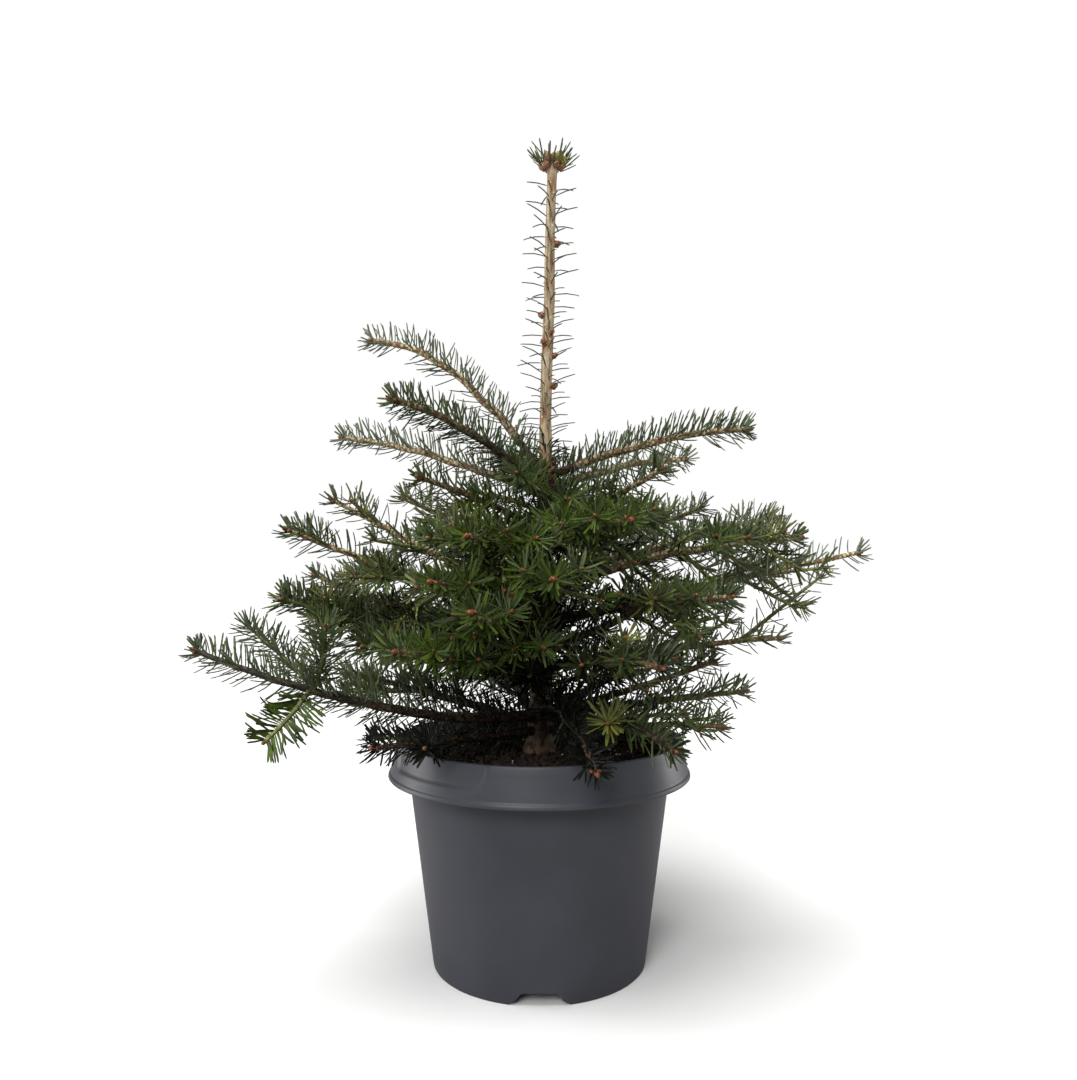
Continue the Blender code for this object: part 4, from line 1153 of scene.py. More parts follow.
def side_path(branch, side, rng):
    """The axis of a side shoot, from inside its branch to its end bud, bending slightly back to the branch's way."""
    foot = branch_point(branch, side.at)
    ahead = branch_point(branch, min(1.0, side.at + 0.05)) - foot
    course = math.degrees(math.atan2(ahead.y, ahead.x)) + side.turn + rng.uniform(-5.0, 5.0)
    climb = math.radians(side.climb + rng.uniform(-4.0, 4.0))
    length = side.length * rng.uniform(0.9, 1.08)
    points = [foot]
    steps = max(3, round(length / SAMPLE_STEP))
    for i in range(steps):
        bend = -0.25 * side.turn * i / steps
        way = heading(course + bend) * math.cos(climb) + Vector((0.0, 0.0, math.sin(climb)))
        points.append(points[-1] + way * (length / steps))
    return points


def twig_path(points, at, turn, climb, length, rng):
    """The axis of a fine twig that leaves a shoot's axis at a share of its length."""
    place = at * (len(points) - 1)
    low = min(int(place), len(points) - 2)
    foot = points[low].lerp(points[low + 1], place - low)
    ahead = points[low + 1] - points[low]
    course = math.degrees(math.atan2(ahead.y, ahead.x)) + turn + rng.uniform(-7.0, 7.0)
    climb = math.radians(climb + rng.uniform(-6.0, 6.0)) + math.asin(max(-1.0, min(1.0, ahead.normalized().z)))
    length = length * rng.uniform(0.85, 1.15)
    made = [foot]
    steps = max(4, round(length / SAMPLE_STEP))
    for i in range(steps):
        way = heading(course - 0.3 * turn * i / steps) * math.cos(climb) + Vector((0.0, 0.0, math.sin(climb)))
        made.append(made[-1] + way * (length / steps))
    return made


def resampled(points, pitch):
    """Evenly spaced points along a polyline, its ends kept."""
    table = np.array([tuple(p) for p in points])
    run = np.concatenate([[0.0], np.cumsum(np.linalg.norm(np.diff(table, axis=0), axis=1))])
    count = max(2, round(float(run[-1]) / pitch))
    wanted = np.linspace(0.0, float(run[-1]), count + 1)
    return [Vector(row) for row in np.stack([np.interp(wanted, run, table[:, k]) for k in range(3)], axis=1)]


def path_length(points):
    return sum((b - a).length for a, b in zip(points, points[1:]))


def frames(points):
    """(tangent, side, up) at each point. Up leans to the sky."""
    found = []
    for i in range(len(points)):
        tangent = (points[min(i + 1, len(points) - 1)] - points[max(i - 1, 0)]).normalized()
        side = tangent.cross(Vector((0.0, 0.0, 1.0)))
        if side.length < 0.2:
            side = Vector((1.0, 0.0, 0.0)) - tangent * tangent.x
        side.normalize()
        found.append((tangent, side, side.cross(tangent).normalized()))
    return found


class Space:
    """What the shoots and needles must keep clear of: other wood, the pot's wall and the potting mix."""

    def __init__(self):
        self.samples = []

    def add(self, owner, points, radius):
        """Enters an axis under its owner's name."""
        for point in resampled(points, SAMPLE_STEP):
            self.samples.append((owner, point, radius))

    def settle(self, owner):
        """Builds the search tree of everyone else's axes for one owner."""
        others = [s for s in self.samples if s[0] != owner]
        self.tree = KDTree(len(others))
        for i, sample in enumerate(others):
            self.tree.insert(sample[1], i)
        self.tree.balance()
        self.radii = [s[2] for s in others]

    def gap(self, point):
        """The distance from a point to the nearest bark of someone else."""
        _, index, distance = self.tree.find(point)
        return 1.0 if index is None else distance - self.radii[index]

    @staticmethod
    def in_pot(point, margin):
        """True inside the pot's wall or rim, or in the potting mix."""
        away = math.hypot(point.x, point.y)
        if away < SOIL_RADIUS - margin:
            return point.z < SOIL_HEIGHT + 0.0015 + margin
        return point.z < POT_HEIGHT + margin and away < LIP_RADIUS + margin

    def clear(self, points, gap):
        """True if no point of a path comes within a gap of anyone else's bark, the pot or the mix."""
        return not any(self.in_pot(p, gap) or self.gap(p) < gap for p in points)


def wavered(points, amount, seed):
    """The path with a slight natural waver that fades out at both ends."""
    made = []
    for i, point in enumerate(points):
        share = i / (len(points) - 1)
        fade = amount * math.sin(math.pi * share)
        key = point * 55.0 + Vector((seed * 7.3, 0.0, 0.0))
        made.append(point + noise.noise_vector(key) * fade)
    return made


def taper(count, foot, tip):
    return [foot + (tip - foot) * i / (count - 1) for i in range(count)]


@lru_cache(maxsize=None)
def plan():
    """(boughs, shoots, space): the solids' own branches and side shoots, carried on to finer twigs."""
    space = Space()
    trunk_axis = [trunk_at(float(h))[0] for h in np.linspace(SOIL_HEIGHT, LEADER_TOP_HEIGHT, 100)]
    space.add("trunk", [p for p in trunk_axis if p.z < LEADER_FOOT_HEIGHT], TRUNK_BARE_RADIUS)
    space.add("trunk", [p for p in trunk_axis if p.z >= LEADER_FOOT_HEIGHT], 0.004)
    wanted = []
    for number, branch in enumerate(BRANCHES):
        rng = random.Random(100 + number)
        axis = branch_axis(branch, 0.0, 1.0)
        space.add(branch.name, axis, branch.radius)
        wanted.append([side_path(branch, side, rng) for side in branch.sides])
    boughs, shoots = [], []
    for number, (branch, paths) in enumerate(zip(BRANCHES, wanted)):
        space.settle(branch.name)
        kept = [(place, path) for place, path in enumerate(paths) if space.clear(path[2:], 0.004)]
        for _, path in kept:
            space.add(branch.name, path, SIDE_SHOOT_RADIUS)
        axis = wavered(resampled(branch_axis(branch, 0.0, 1.0), 0.002), 0.0016, number)
        radii = [branch_radius(branch, i / (len(axis) - 1)) for i in range(len(axis))]
        split = round(branch.limb * (len(axis) - 1))
        if split:
            boughs.append(Shoot(branch.name, axis[:split + 1], radii[:split + 1], 0.0, 0))
        shoots.append(Shoot(branch.name, axis[split:], radii[split:], 0.0 if split else 0.005, 1))
        for place, path in kept:
            path = resampled(path, 0.002)
            radii = taper(len(path), SIDE_SHOOT_RADIUS, SIDE_SHOOT_RADIUS * 0.66)
            shoots.append(Shoot(branch.name, path, radii, 0.005, 2, FORMS.get((branch.name, place), "common")))
    for number, branch in enumerate(BRANCHES):
        rng = random.Random(200 + number)
        space.settle(branch.name)
        for side in FILLERS.get(branch.name, ()):
            path = side_path(branch, side, rng)
            if space.clear(path[2:], 0.003):
                space.add(branch.name, path, SIDE_SHOOT_RADIUS)
                path = resampled(path, 0.002)
                radii = taper(len(path), SIDE_SHOOT_RADIUS, SIDE_SHOOT_RADIUS * 0.66)
                shoots.append(Shoot(branch.name, path, radii, 0.004, 2))
    space.settle("inner")
    for foot, azimuth, reach, tip in INNER_SHOOTS:
        inner = Branch("inner", foot, azimuth, reach, tip, 0.002, 0.0, 0.0, 0.0018, ())
        path = resampled(branch_axis(inner, 0.0, 1.0), 0.002)
        if space.clear(path[4:], 0.002):
            space.add("inner", path, SIDE_SHOOT_RADIUS)
            shoots.append(Shoot("inner", path, taper(len(path), 0.0018, 0.0012), 0.006, 2, "round"))
    for number, branch in enumerate(BRANCHES):
        if branch.name.startswith(PLAIN):
            continue
        rng = random.Random(300 + number)
        space.settle(branch.name)
        for shoot in [s for s in shoots if s.name == branch.name]:
            span = path_length(shoot.points)
            spots = ((0.34, 0.030), (0.78, 0.024)) if shoot.rank == 1 else ((0.50, 0.020),)
            if branch.name in OPEN:
                spots = spots[1:]
            for at, length in spots:
                for turn in (50.0, -50.0):
                    if span < 0.038:
                        continue
                    path = twig_path(shoot.points, at, turn, 4.0, length, rng)
                    if space.clear(path[2:], 0.003):
                        path = resampled(path, 0.002)
                        shoots.append(
                            Shoot(branch.name, path, taper(len(path), FINE_SHOOT_RADIUS, FINE_SHOOT_RADIUS * 0.8), 0.003, 3)
                        )
                        space.add(branch.name, path, FINE_SHOOT_RADIUS)
    return boughs, shoots, space


# Bark


class Wood:
    """Gathers tapering limbs into one mesh."""

    def __init__(self):
        self.vertices = []
        self.faces = []
        self.ages = []

    def limb(self, points, radii, sides, relief, ages=(0.0, 0.0)):
        """One limb with round ends and the ages of its foot and its end.

        relief(point, angle, run) is how far its bark stands out there.
        """
        first = len(self.vertices)
        axes = frames(points)
        run = 0.0
        for i, (point, radius) in enumerate(zip(points, radii)):
            run += (point - points[i - 1]).length if i else 0.0
            _, side, up = axes[i]
            for k in range(sides):
                angle = math.tau * k / sides
                spoke = side * math.cos(angle) + up * math.sin(angle)
                self.vertices.append(point + spoke * (radius + relief(point + spoke * radius, angle, run)))
                self.ages.append(ages[0] + (ages[1] - ages[0]) * i / (len(points) - 1))
        for i in range(len(points) - 1):
            for k in range(sides):
                a, b = first + i * sides + k, first + i * sides + (k + 1) % sides
                self.faces.append((a, a + sides, b + sides, b))
        last = first + (len(points) - 1) * sides
        for start, pole, flip in (
            (first, points[0] - axes[0][0] * radii[0] * 0.4, False),
            (last, points[-1] + axes[-1][0] * radii[-1] * 0.6, True),
        ):
            self.vertices.append(pole)
            self.ages.append(ages[1] if flip else ages[0])
            top = len(self.vertices) - 1
            for k in range(sides):
                a, b = start + k, start + (k + 1) % sides
                self.faces.append((b, a, top) if flip else (a, b, top))

    def piece(self, name, finish):
        obj = new_piece(name, self.vertices, self.faces, [finish])
        obj.data.attributes.new("age", "FLOAT", "POINT").data.foreach_set("value", self.ages)
        outward(obj)
        return obj


def trunk_relief(point, angle, settings):
    """Relief of the trunk: root ribs at the foot, rough bark below the leader, fine grooves on the leader."""
    height = point.z
    foot = max(0.0, 1.0 - (height - SOIL_HEIGHT) / 0.016)
    ribs = 0.0004 * foot * foot * math.cos(3.0 * angle + 0.8)
    old = min(1.0, max(0.0, (0.330 - height) / 0.020))
    plates = noise.turbulence(Vector((point.x * 330.0, point.y * 330.0, height * 150.0)), 3, False) - 0.45
    drawn = noise.noise(Vector((point.x * 620.0, point.y * 620.0, height * 60.0)))
    knots = max(0.0, noise.noise(Vector((point.x * 240.0, point.y * 240.0, height * 240.0))) - 0.25)
    return ribs + settings.relief * (plates * old + 0.55 * drawn * (1.0 - old) + 0.9 * knots)


def twig_relief(point, angle, run):
    """The low cushions under the needles' feet, in a spiral round the twig."""
    return 0.00020 * math.cos(3.0 * angle + run * 2100.0) + 0.00016 * noise.noise(point * 600.0)


def bough_relief(point, angle, run):
    """The cushions on a bough, worn down and broken up by its bark."""
    return 0.00035 * noise.noise(point * 420.0) + 0.6 * twig_relief(point, angle, run)


class FIR_OT_trunk(bpy.types.Operator):
    """Builds the trunk from its root flare to the leader's tip, with the bark's relief"""

    bl_idname = "fir.trunk"
    bl_label = "Trunk"

    def execute(self, context):
        settings = context.scene.fir_bark
        heights = np.arange(TRUNK_STATIONS[0][0], TRUNK_STATIONS[-1][0], 0.0011)
        split = int(np.searchsorted(heights, LEADER_FOOT_HEIGHT - 0.004))

        def relief(point, angle, run):
            return trunk_relief(point, angle, settings)

        def smooth(height):
            spread = [trunk_at(float(height) + step) for step in (-0.003, -0.0015, 0.0, 0.0015, 0.003)]
            if height < SOIL_HEIGHT + 0.006:
                return spread[2]
            return sum((s[0] for s in spread), Vector()) / 5, sum(s[1] for s in spread) / 5

        for name, part, finish in (
            ("trunk_bark", heights[:split + 1], old_bark(settings)),
            ("leader_bark", heights[split:], straw_bark(settings)),
        ):
            stations = [smooth(h) for h in part]
            wood = Wood()
            wood.limb([Vector((s[0].x, s[0].y, float(h))) for s, h in zip(stations, part)], [s[1] for s in stations], 30, relief)
            piece = wood.piece(name, finish)
            finish_piece(piece, "straw_bark", "trunk")
        return {"FINISHED"}


class FIR_OT_boughs(bpy.types.Operator):
    """Builds the bare boughs, which grow out of the trunk, and the twigs that grow on from them"""

    bl_idname = "fir.boughs"
    bl_label = "Boughs and twigs"

    def execute(self, context):
        settings = context.scene.fir_bark
        boughs, shoots, _ = plan()
        rough = old_bark(settings)
        straw = twig_bark(settings, "young twig bark", settings.twig, settings.scar)
        green = twig_bark(settings, "side twig bark", settings.shoot, scaled(settings.shoot, 0.55))
        wood = Wood()
        for bough in boughs:
            root = bough.points[0] - (bough.points[1] - bough.points[0]).normalized() * 0.004
            points = resampled([root, *bough.points], 0.0016)
            radii = [float(r) for r in np.interp(
                np.linspace(0.0, 1.0, len(points)), np.linspace(0.0, 1.0, len(bough.radii)), bough.radii
            )]
            radii = [r * (1.0 + 0.45 * max(0.0, 1.0 - i / 5)) for i, r in enumerate(radii)]
            wood.limb(points, radii, 14, bough_relief)
        piece = wood.piece("bough_bark", rough)
        finish_piece(piece, "brown_bark", *[f"{bough.name}_bough" for bough in boughs])
        main, fine = Wood(), Wood()
        for shoot in shoots:
            brown = shoot.name.startswith(BROWN)
            if shoot.rank > 1:
                fine.limb(shoot.points, shoot.radii, 7, twig_relief, (0.5, 0.0) if brown else (0.2, 0.0))
                continue
            ages = (1.3, 0.9) if shoot.name.startswith(DARK) else (1.2, 0.25) if brown else (0.50, -0.30)
            points, radii = resampled(shoot.points, 0.0014), shoot.radii
            stout = 1.22 if shoot.name in STOUT else 1.0
            radii = taper(len(points), radii[0] * stout, radii[-1] * stout)
            if shoot.bare:
                root = points[0] - (points[1] - points[0]).normalized() * 0.004
                points, radii = [root, *points], [radii[0] * 1.25, *radii]
            main.limb(points, radii, 10, twig_relief, ages)
        names = [branch.name for branch in BRANCHES]
        finish_piece(main.piece("branch_bark", straw), "brown_bark", *names)
        finish_piece(fine.piece("twig_bark", green), "brown_bark", *names)
        return {"FINISHED"}


# Needles


def needle_shape(name, bend, lean):
    """One needle, a unit long and wide: a blade with a groove above and a keel beneath, and a blunt notched end."""
    stations = ((0.0, 0.50), (0.14, 0.88), (0.52, 1.0), (0.90, 0.88), (1.0, 0.50))
    vertices = []
    for share, wide in stations:
        y = bend * share * share
        x = lean * share * share
        half = 0.5 * wide
        notch = 0.025 if share == 1.0 else 0.0
        vertices += [
            (x - half, y + 0.006, share),
            (x, y - 0.002, share - notch),
            (x + half, y + 0.006, share),
            (x, y - 0.034 * wide, share - notch),
        ]
    faces, under = [], []
    for i in range(len(stations) - 1):
        for k in range(4):
            a, b = 4 * i + k, 4 * i + (k + 1) % 4
            faces.append((a, b, b + 4, a + 4))
            under.append(k > 1)
    faces += [(3, 2, 1, 0), tuple(range(len(vertices) - 4, len(vertices)))]
    under += [False, False]
    mesh = bpy.data.meshes.new(name)
    mesh.from_pydata(vertices, [], faces)
    mesh.attributes.new("under", "BOOLEAN", "FACE").data.foreach_set("value", under)
    obj = bpy.data.objects.new(name, mesh)
    bpy.context.scene.collection.objects.link(obj)
    outward(obj)
    return obj


# Bends towards the face and leans to the side, as shares of the length and the width
CROWN_BENDS = ((0.05, 0.0), (0.12, 0.4), (0.18, -0.5), (0.09, 0.9), (0.02, -0.8), (0.15, 0.1))
LEADER_BENDS = ((-0.20, 0.2), (-0.28, -0.4), (-0.36, 0.3), (-0.16, 0.6))


def needle_shapes(bends):
    """Needles of one length with different bends."""
    return shape_group("needle shapes", [needle_shape(f"needle_{i}", *b) for i, b in enumerate(bends)])


def tint_of(name):
    """The tint of a branch: from the table, or from the side of the plant that it grows on."""
    if name in TINTS:
        return TINTS[name]
    # Front branches take the painted lit tint.
    if "front" in name or name.endswith("near"):
        return "fresh"
    return "green" if "left" in name else "grey"


def full_length(share):
    """A needle's length by its place on a shoot: shorter at both ends."""
    return min(1.0, 0.80 + 1.6 * share) * min(1.0, 0.66 + 2.4 * (1.0 - share))


def shoot_needles(shoot, space, settings, rng, density=1.0):
    """(place, in the shade) of each needle of one shoot, in a spiral, swept up and forward."""
    points = shoot.points
    axes = frames(points)
    span = path_length(points)
    step = span / (len(points) - 1)
    count = int((span - shoot.bare) / settings.spacing * density)
    beneath = 0.95 if shoot.form == "round" else BENEATH.get(shoot.name, COMMON_BENEATH)
    parted = max((share for name, share in PARTED.items() if shoot.name.startswith(name)), default=0.0)
    parted = parted if shoot.rank == 1 else 0.0
    crown = shoot.name.startswith("crown")
    ends = {0: 0, 1: 13, 2: 10, 3: 7}[shoot.rank] if shoot.form != "flat" else 5
    found = []
    start = rng.uniform(0.0, math.tau)
    for i in range(count + ends):
        last = i >= count
        run = span - rng.uniform(0.0002, 0.0030) if last else shoot.bare + (span - shoot.bare) * (i + 0.5) / count
        low = min(int(run / step), len(points) - 2)
        at = points[low].lerp(points[low + 1], run / step - low)
        tangent, side, up = axes[low]
        angle = start + i * 2.39996 + rng.uniform(-0.45, 0.45)
        grown = (run - shoot.bare) / max(span - shoot.bare, 1e-6)
        spread = Vector([rng.uniform(-0.14, 0.14) for _ in range(3)])
        forward = rng.uniform(0.35, 1.35) if last else rng.uniform(0.08, 0.70)
        raised = rng.uniform(0.06, 0.34)
        if shoot.form == "flat":
            across = tangent.cross(Vector((0.0, 1.0, 0.0))).normalized()
            normal = across * (1.0 if i % 2 else -1.0) + Vector((0.0, rng.uniform(-0.50, 0.2), 0.0))
            way = (normal + tangent * (forward + 0.10) + spread * 1.6).normalized()
            facing = Vector((0.0, -1.0, 0.25)) + spread * 5.0
        else:
            normal = side * math.cos(angle) + up * math.sin(angle)
            lift = math.sin(angle)
            end_on = abs(tangent.y)
            keep = beneath + (0.95 - beneath) * max(0.0, (grown - 0.80) / 0.20, end_on * 1.2 - 0.45)
            if not last and lift < -0.30 and rng.random() > keep:
                continue
            if not last and abs(lift) < 0.62 and rng.random() < parted:
                continue
            if lift < -0.30:
                forward += 0.35
                raised *= 0.3
            way = (normal + tangent * forward + up * raised + spread).normalized()
            facing = tangent * 0.75 + up * 0.55 + spread * 2.8
        length = settings.length * full_length(grown) * rng.uniform(0.80, 1.13) * (1.0 if shoot.form == "common" else 1.12)
        root = at + normal * shoot.radii[low] * 0.7
        ends_at = (root + way * length * 0.55, root + way * length)
        if any(space.in_pot(p, 0.0008) or space.gap(p) < 0.0006 for p in ends_at):
            continue
        # Needles near the trunk and below the crown's top are marked for painted shade.
        inner = at.z < SHADE_TOP and math.hypot(at.x, at.y) < SHADE_RADIUS + SHADE_BLEND * rng.uniform(-1.0, 1.0)
        place = Place(root, way, facing, (rng.uniform(0.82, 1.15), 1.0, length / settings.length))
        found.append((place, inner and not crown))
    return found


class FIR_OT_needles(bpy.types.Operator):
    """Grows the needles of every branch and twig, dealt out by tint"""

    bl_idname = "fir.needles"
    bl_label = "Needles"

    def execute(self, context):
        settings = context.scene.fir_needles
        boughs, shoots, space = plan()
        dealt = {tint: [] for tint in TINT_NAMES}
        nodes = {tint: set() for tint in TINT_NAMES}
        for number, name in enumerate([branch.name for branch in BRANCHES] + ["inner"]):
            rng = random.Random(settings.seed + number)
            space.settle(name)
            own = tint_of(name)
            for shoot in [s for s in boughs + shoots if s.name == name]:
                density = DENSITY.get(name, 1.0) * {"flat": 0.74, "round": 1.35, "common": 1.0}[shoot.form]
                if not shoot.rank:
                    density *= 0.8 if name.startswith(("crown", "skirt_left")) else 0.3
                tint = own
                if shoot.rank > 1 and own != "shade":
                    # Some side shoots draw another tint, the painted lit one among them.
                    tint = rng.choices((own, "olive", "green", "fresh"), (0.55, 0.22, 0.15, 0.08))[0]
                if shoot.form == "flat":
                    # The flat fan takes the painted lit tint.
                    tint = "fresh"
                elif name == "inner":
                    # Inner shoots low in the crown take painted shade.
                    tint = "green" if shoot.points[0].z > 0.275 else "deep"
                for place, shaded in shoot_needles(shoot, space, settings, rng, density):
                    # Needles marked in the shade take the darkest tint, which is painted shade.
                    kind = "shade" if shaded else tint
                    dealt[kind].append(place)
                    if name != "inner":
                        nodes[kind].add(name)
        group = needle_shapes(CROWN_BENDS)
        for tint in TINT_NAMES:
            shade = tuple(getattr(settings, tint))
            pale = mixed(scaled(shade, 1.25), linear("#989f88"), settings.bloom if tint != "shade" else 0.08)
            top = needle_top(f"waxy needle face, {tint}", shade)
            under = needle_under(f"powdery needle underside, {tint}", pale)
            places = dealt[tint]
            parts = max(1, math.ceil(len(places) / PIECE_NEEDLES))
            for part in range(parts):
                share = places[part * len(places) // parts:(part + 1) * len(places) // parts]
                piece = set_out(
                    f"needles_{tint}_{part + 1}", share, group, top, under,
                    settings.length, settings.width, settings.seed + part,
                )
                finish_piece(piece, "needles", *sorted(nodes[tint]))
        drop_group(group)
        return {"FINISHED"}


class FIR_OT_leader_needles(bpy.types.Operator):
    """Grows the leader's sparse spreading needles and the tuft round its end buds"""

    bl_idname = "fir.leader_needles"
    bl_label = "Leader needles"

    def execute(self, context):
        settings = context.scene.fir_needles
        rng = random.Random(7)
        places = []
        count = 128
        for i in range(count):
            share = (i + rng.random()) / count
            height = LEADER_FOOT_HEIGHT + 0.002 + (0.505 - LEADER_FOOT_HEIGHT - 0.002) * share ** 1.12
            axis, thick = trunk_at(height)
            out = heading(math.degrees(i * 2.39996) + rng.uniform(-20, 20))
            way = (out + Vector((0.0, 0.0, rng.uniform(0.15, 0.75)))).normalized()
            length = rng.uniform(0.72, 1.12)
            places.append(Place(axis + out * thick * 0.85, way, Vector((0.0, 0.0, 1.0)), (0.86, 1.0, length)))
        for i in range(60):
            height = rng.uniform(0.309, 0.334)
            axis, thick = trunk_at(height)
            out = heading(rng.uniform(0.0, 360.0))
            way = (out + Vector((0.0, 0.0, rng.uniform(0.1, 1.3)))).normalized()
            length = rng.uniform(0.70, 1.10)
            places.append(Place(axis + out * thick * 0.85, way, Vector((0.0, 0.0, 1.0)), (1.0, 1.0, length)))
        shade = tuple(settings.green)
        top = needle_top("waxy needle face, leader", scaled(shade, 1.1))
        under = needle_under("powdery needle underside, leader", mixed(shade, linear("#989f88"), 0.2))
        group = needle_shapes(LEADER_BENDS)
        piece = set_out("leader_needles", places, group, top, under, settings.length, settings.width, 21)
        finish_piece(piece, "needles", "trunk")
        drop_group(group)
        tuft = []
        for azimuth, lean, count in ((190, 1.0, 11), (245, 0.6, 5), (320, 0.9, 7), (10, 1.0, 10), (80, 0.8, 7), (135, 0.9, 7)):
            axis, thick = trunk_at(0.5150)
            middle = axis + heading(azimuth) * thick * 1.2
            for _ in range(count):
                out = heading(azimuth + rng.uniform(-60, 60))
                way = (out * lean * rng.uniform(0.4, 1.5) + Vector((0.0, 0.0, rng.uniform(0.45, 1.1)))).normalized()
                at = middle + out * 0.0010 + Vector((0.0, 0.0, rng.uniform(-0.001, 0.0045)))
                tuft.append(Place(at, way, out * -0.4 + Vector((0.0, 0.0, 1.0)), (0.92, 1.0, rng.uniform(0.70, 1.12))))
        group = needle_shapes(CROWN_BENDS)
        top = needle_top("waxy needle face, tuft", scaled(tuple(settings.olive), 1.15))
        piece = set_out("tuft_needles", tuft, group, top, under, settings.length, settings.width, 23)
        finish_piece(piece, "needles", "leader_tuft")
        drop_group(group)
        return {"FINISHED"}


# Buds


def bud_shape(name, seed):
    """A bud one unit long: an egg of overlapping scales, closed at both ends."""
    rng = random.Random(seed)
    sides = 8
    outline = ((0.0, 0.20), (0.14, 0.36), (0.34, 0.42), (0.58, 0.38), (0.78, 0.27), (0.93, 0.12))
    vertices = [(0.0, 0.0, -0.06)]
    for level, (height, radius) in enumerate(outline):
        for k in range(sides):
            angle = math.tau * (k + 0.5 * (level % 2)) / sides
            swell = radius * (1.0 + 0.10 * (-1) ** (k + level) + rng.uniform(-0.04, 0.04))
            vertices.append((swell * math.cos(angle), swell * math.sin(angle), height))
    vertices.append((0.0, 0.0, 1.0))
    faces = [(0, 1 + (k + 1) % sides, 1 + k) for k in range(sides)]
    for level in range(len(outline) - 1):
        for k in range(sides):
            a, b = 1 + level * sides + k, 1 + level * sides + (k + 1) % sides
            faces.append((a, b, b + sides, a + sides))
    last = 1 + (len(outline) - 1) * sides
    faces += [(last + k, last + (k + 1) % sides, len(vertices) - 1) for k in range(sides)]
    mesh = bpy.data.meshes.new(name)
    mesh.from_pydata(vertices, [], faces)
    mesh.shade_smooth()
    obj = bpy.data.objects.new(name, mesh)
    bpy.context.scene.collection.objects.link(obj)
    outward(obj)
    return obj


def bud_ring(at, tangent, side, up, radius, length, angles, forward):
    """Buds round a shoot, leaning forward."""
    places = []
    for angle in angles:
        normal = side * math.cos(angle) + up * math.sin(angle)
        way = (normal + tangent * forward).normalized()
        places.append(Place(at + normal * radius * 0.7, way, up, (length, length, length)))
    return places


class FIR_OT_buds(bpy.types.Operator):
    """Sets the resting buds on every shoot's end and on the leader, with the swelling bud on top"""

    bl_idname = "fir.buds"
    bl_label = "Buds"

    def execute(self, context):
        settings = context.scene.fir_buds
        _, shoots, _ = plan()
        rng = random.Random(31)
        places = []
        for shoot in shoots:
            tangent, side, up = frames(shoot.points)[-1]
            crown = shoot.name.startswith("crown") or shoot.name in NODES
            length = settings.length * {1: 1.0 if crown else 0.88, 2: 0.70, 3: 0.52}[shoot.rank]
            length *= rng.uniform(0.88, 1.12)
            tip = shoot.points[-1]
            places.append(Place(tip, tangent, up, (length, length, length)))
            if shoot.rank == 1:
                angles = [rng.uniform(-0.5, 0.5), math.pi + rng.uniform(-0.5, 0.5)]
                places += bud_ring(tip - tangent * 0.0014, tangent, side, up, 0.0014, length * 0.75, angles, 0.6)
                for mark in NODES.get(shoot.name, ()):
                    place = int(mark * (len(shoot.points) - 1))
                    axes = frames(shoot.points)[place]
                    angles = [rng.uniform(-0.3, 0.5), math.pi + rng.uniform(-0.5, 0.3)]
                    places += bud_ring(
                        shoot.points[place], *axes, shoot.radii[place], settings.length * 0.62, angles, 0.45
                    )
        for _ in range(34):
            height = rng.uniform(0.3060, 0.3235)
            axis, thick = trunk_at(height)
            out = heading(rng.uniform(0.0, 360.0))
            way = (out + Vector((0.0, 0.0, rng.uniform(0.2, 1.6)))).normalized()
            length = rng.uniform(0.0034, 0.0056)
            places.append(Place(axis + out * thick * rng.uniform(0.85, 1.15), way, out, (length, length, length)))
        fawn = []
        for height, azimuth in LEADER_BUDS:
            axis, thick = trunk_at(height)
            out = heading(azimuth)
            way = (out + Vector((0.0, 0.0, 0.55))).normalized()
            length = settings.length * rng.uniform(1.05, 1.3)
            fawn.append(Place(axis + out * thick * 0.75, way, Vector((0.0, 0.0, 1.0)), (length, length, length)))
        top, thick = trunk_at(0.5150)
        for azimuth, lean, length in (
            (186, 2.4, 0.0066), (232, 1.8, 0.0054), (300, 1.8, 0.0052), (352, 2.4, 0.0066), (60, 1.8, 0.0052),
            (120, 1.8, 0.0052), (222, 0.5, 0.0078), (285, 0.5, 0.0064), (130, 0.5, 0.0062),
        ):
            out = heading(azimuth)
            way = (out * lean + Vector((0.0, 0.0, 1.0))).normalized()
            low = lean > 1.0
            at = top + out * thick * (0.9 if low else 0.7) + Vector((0.0, 0.0, 0.0005 if low else 0.004))
            fawn.append(Place(at, way, out, (length, length, length)))
        group = shape_group("bud shapes", [bud_shape(f"bud_{i}", 60 + i) for i in range(3)])
        piece = set_out("resting_buds", places, group, bud_scales("resin-coated bud scales", settings.russet), seed=9)
        finish_piece(piece, "straw_bark", *[branch.name for branch in BRANCHES])
        piece = set_out("leader_buds", fawn, group, bud_scales("dry bud scales", settings.fawn), seed=12)
        finish_piece(piece, "straw_bark", "trunk", "leader_tuft")
        swelling = [
            Place(top + Vector((0.0030, -0.0028, 0.0040)), Vector((0.50, -0.45, 1.0)), heading(0), (0.0078,) * 3),
            Place(top + Vector((0.0056, -0.0016, 0.0030)), Vector((0.90, -0.30, 1.0)), heading(0), (0.0062,) * 3),
        ]
        green = bud_scales("swelling bud scales", settings.swelling)
        piece = set_out("swelling_buds", swelling, group, green, seed=10)
        finish_piece(piece, "needles", "leader_tuft")
        drop_group(group)
        return {"FINISHED"}


# Stage


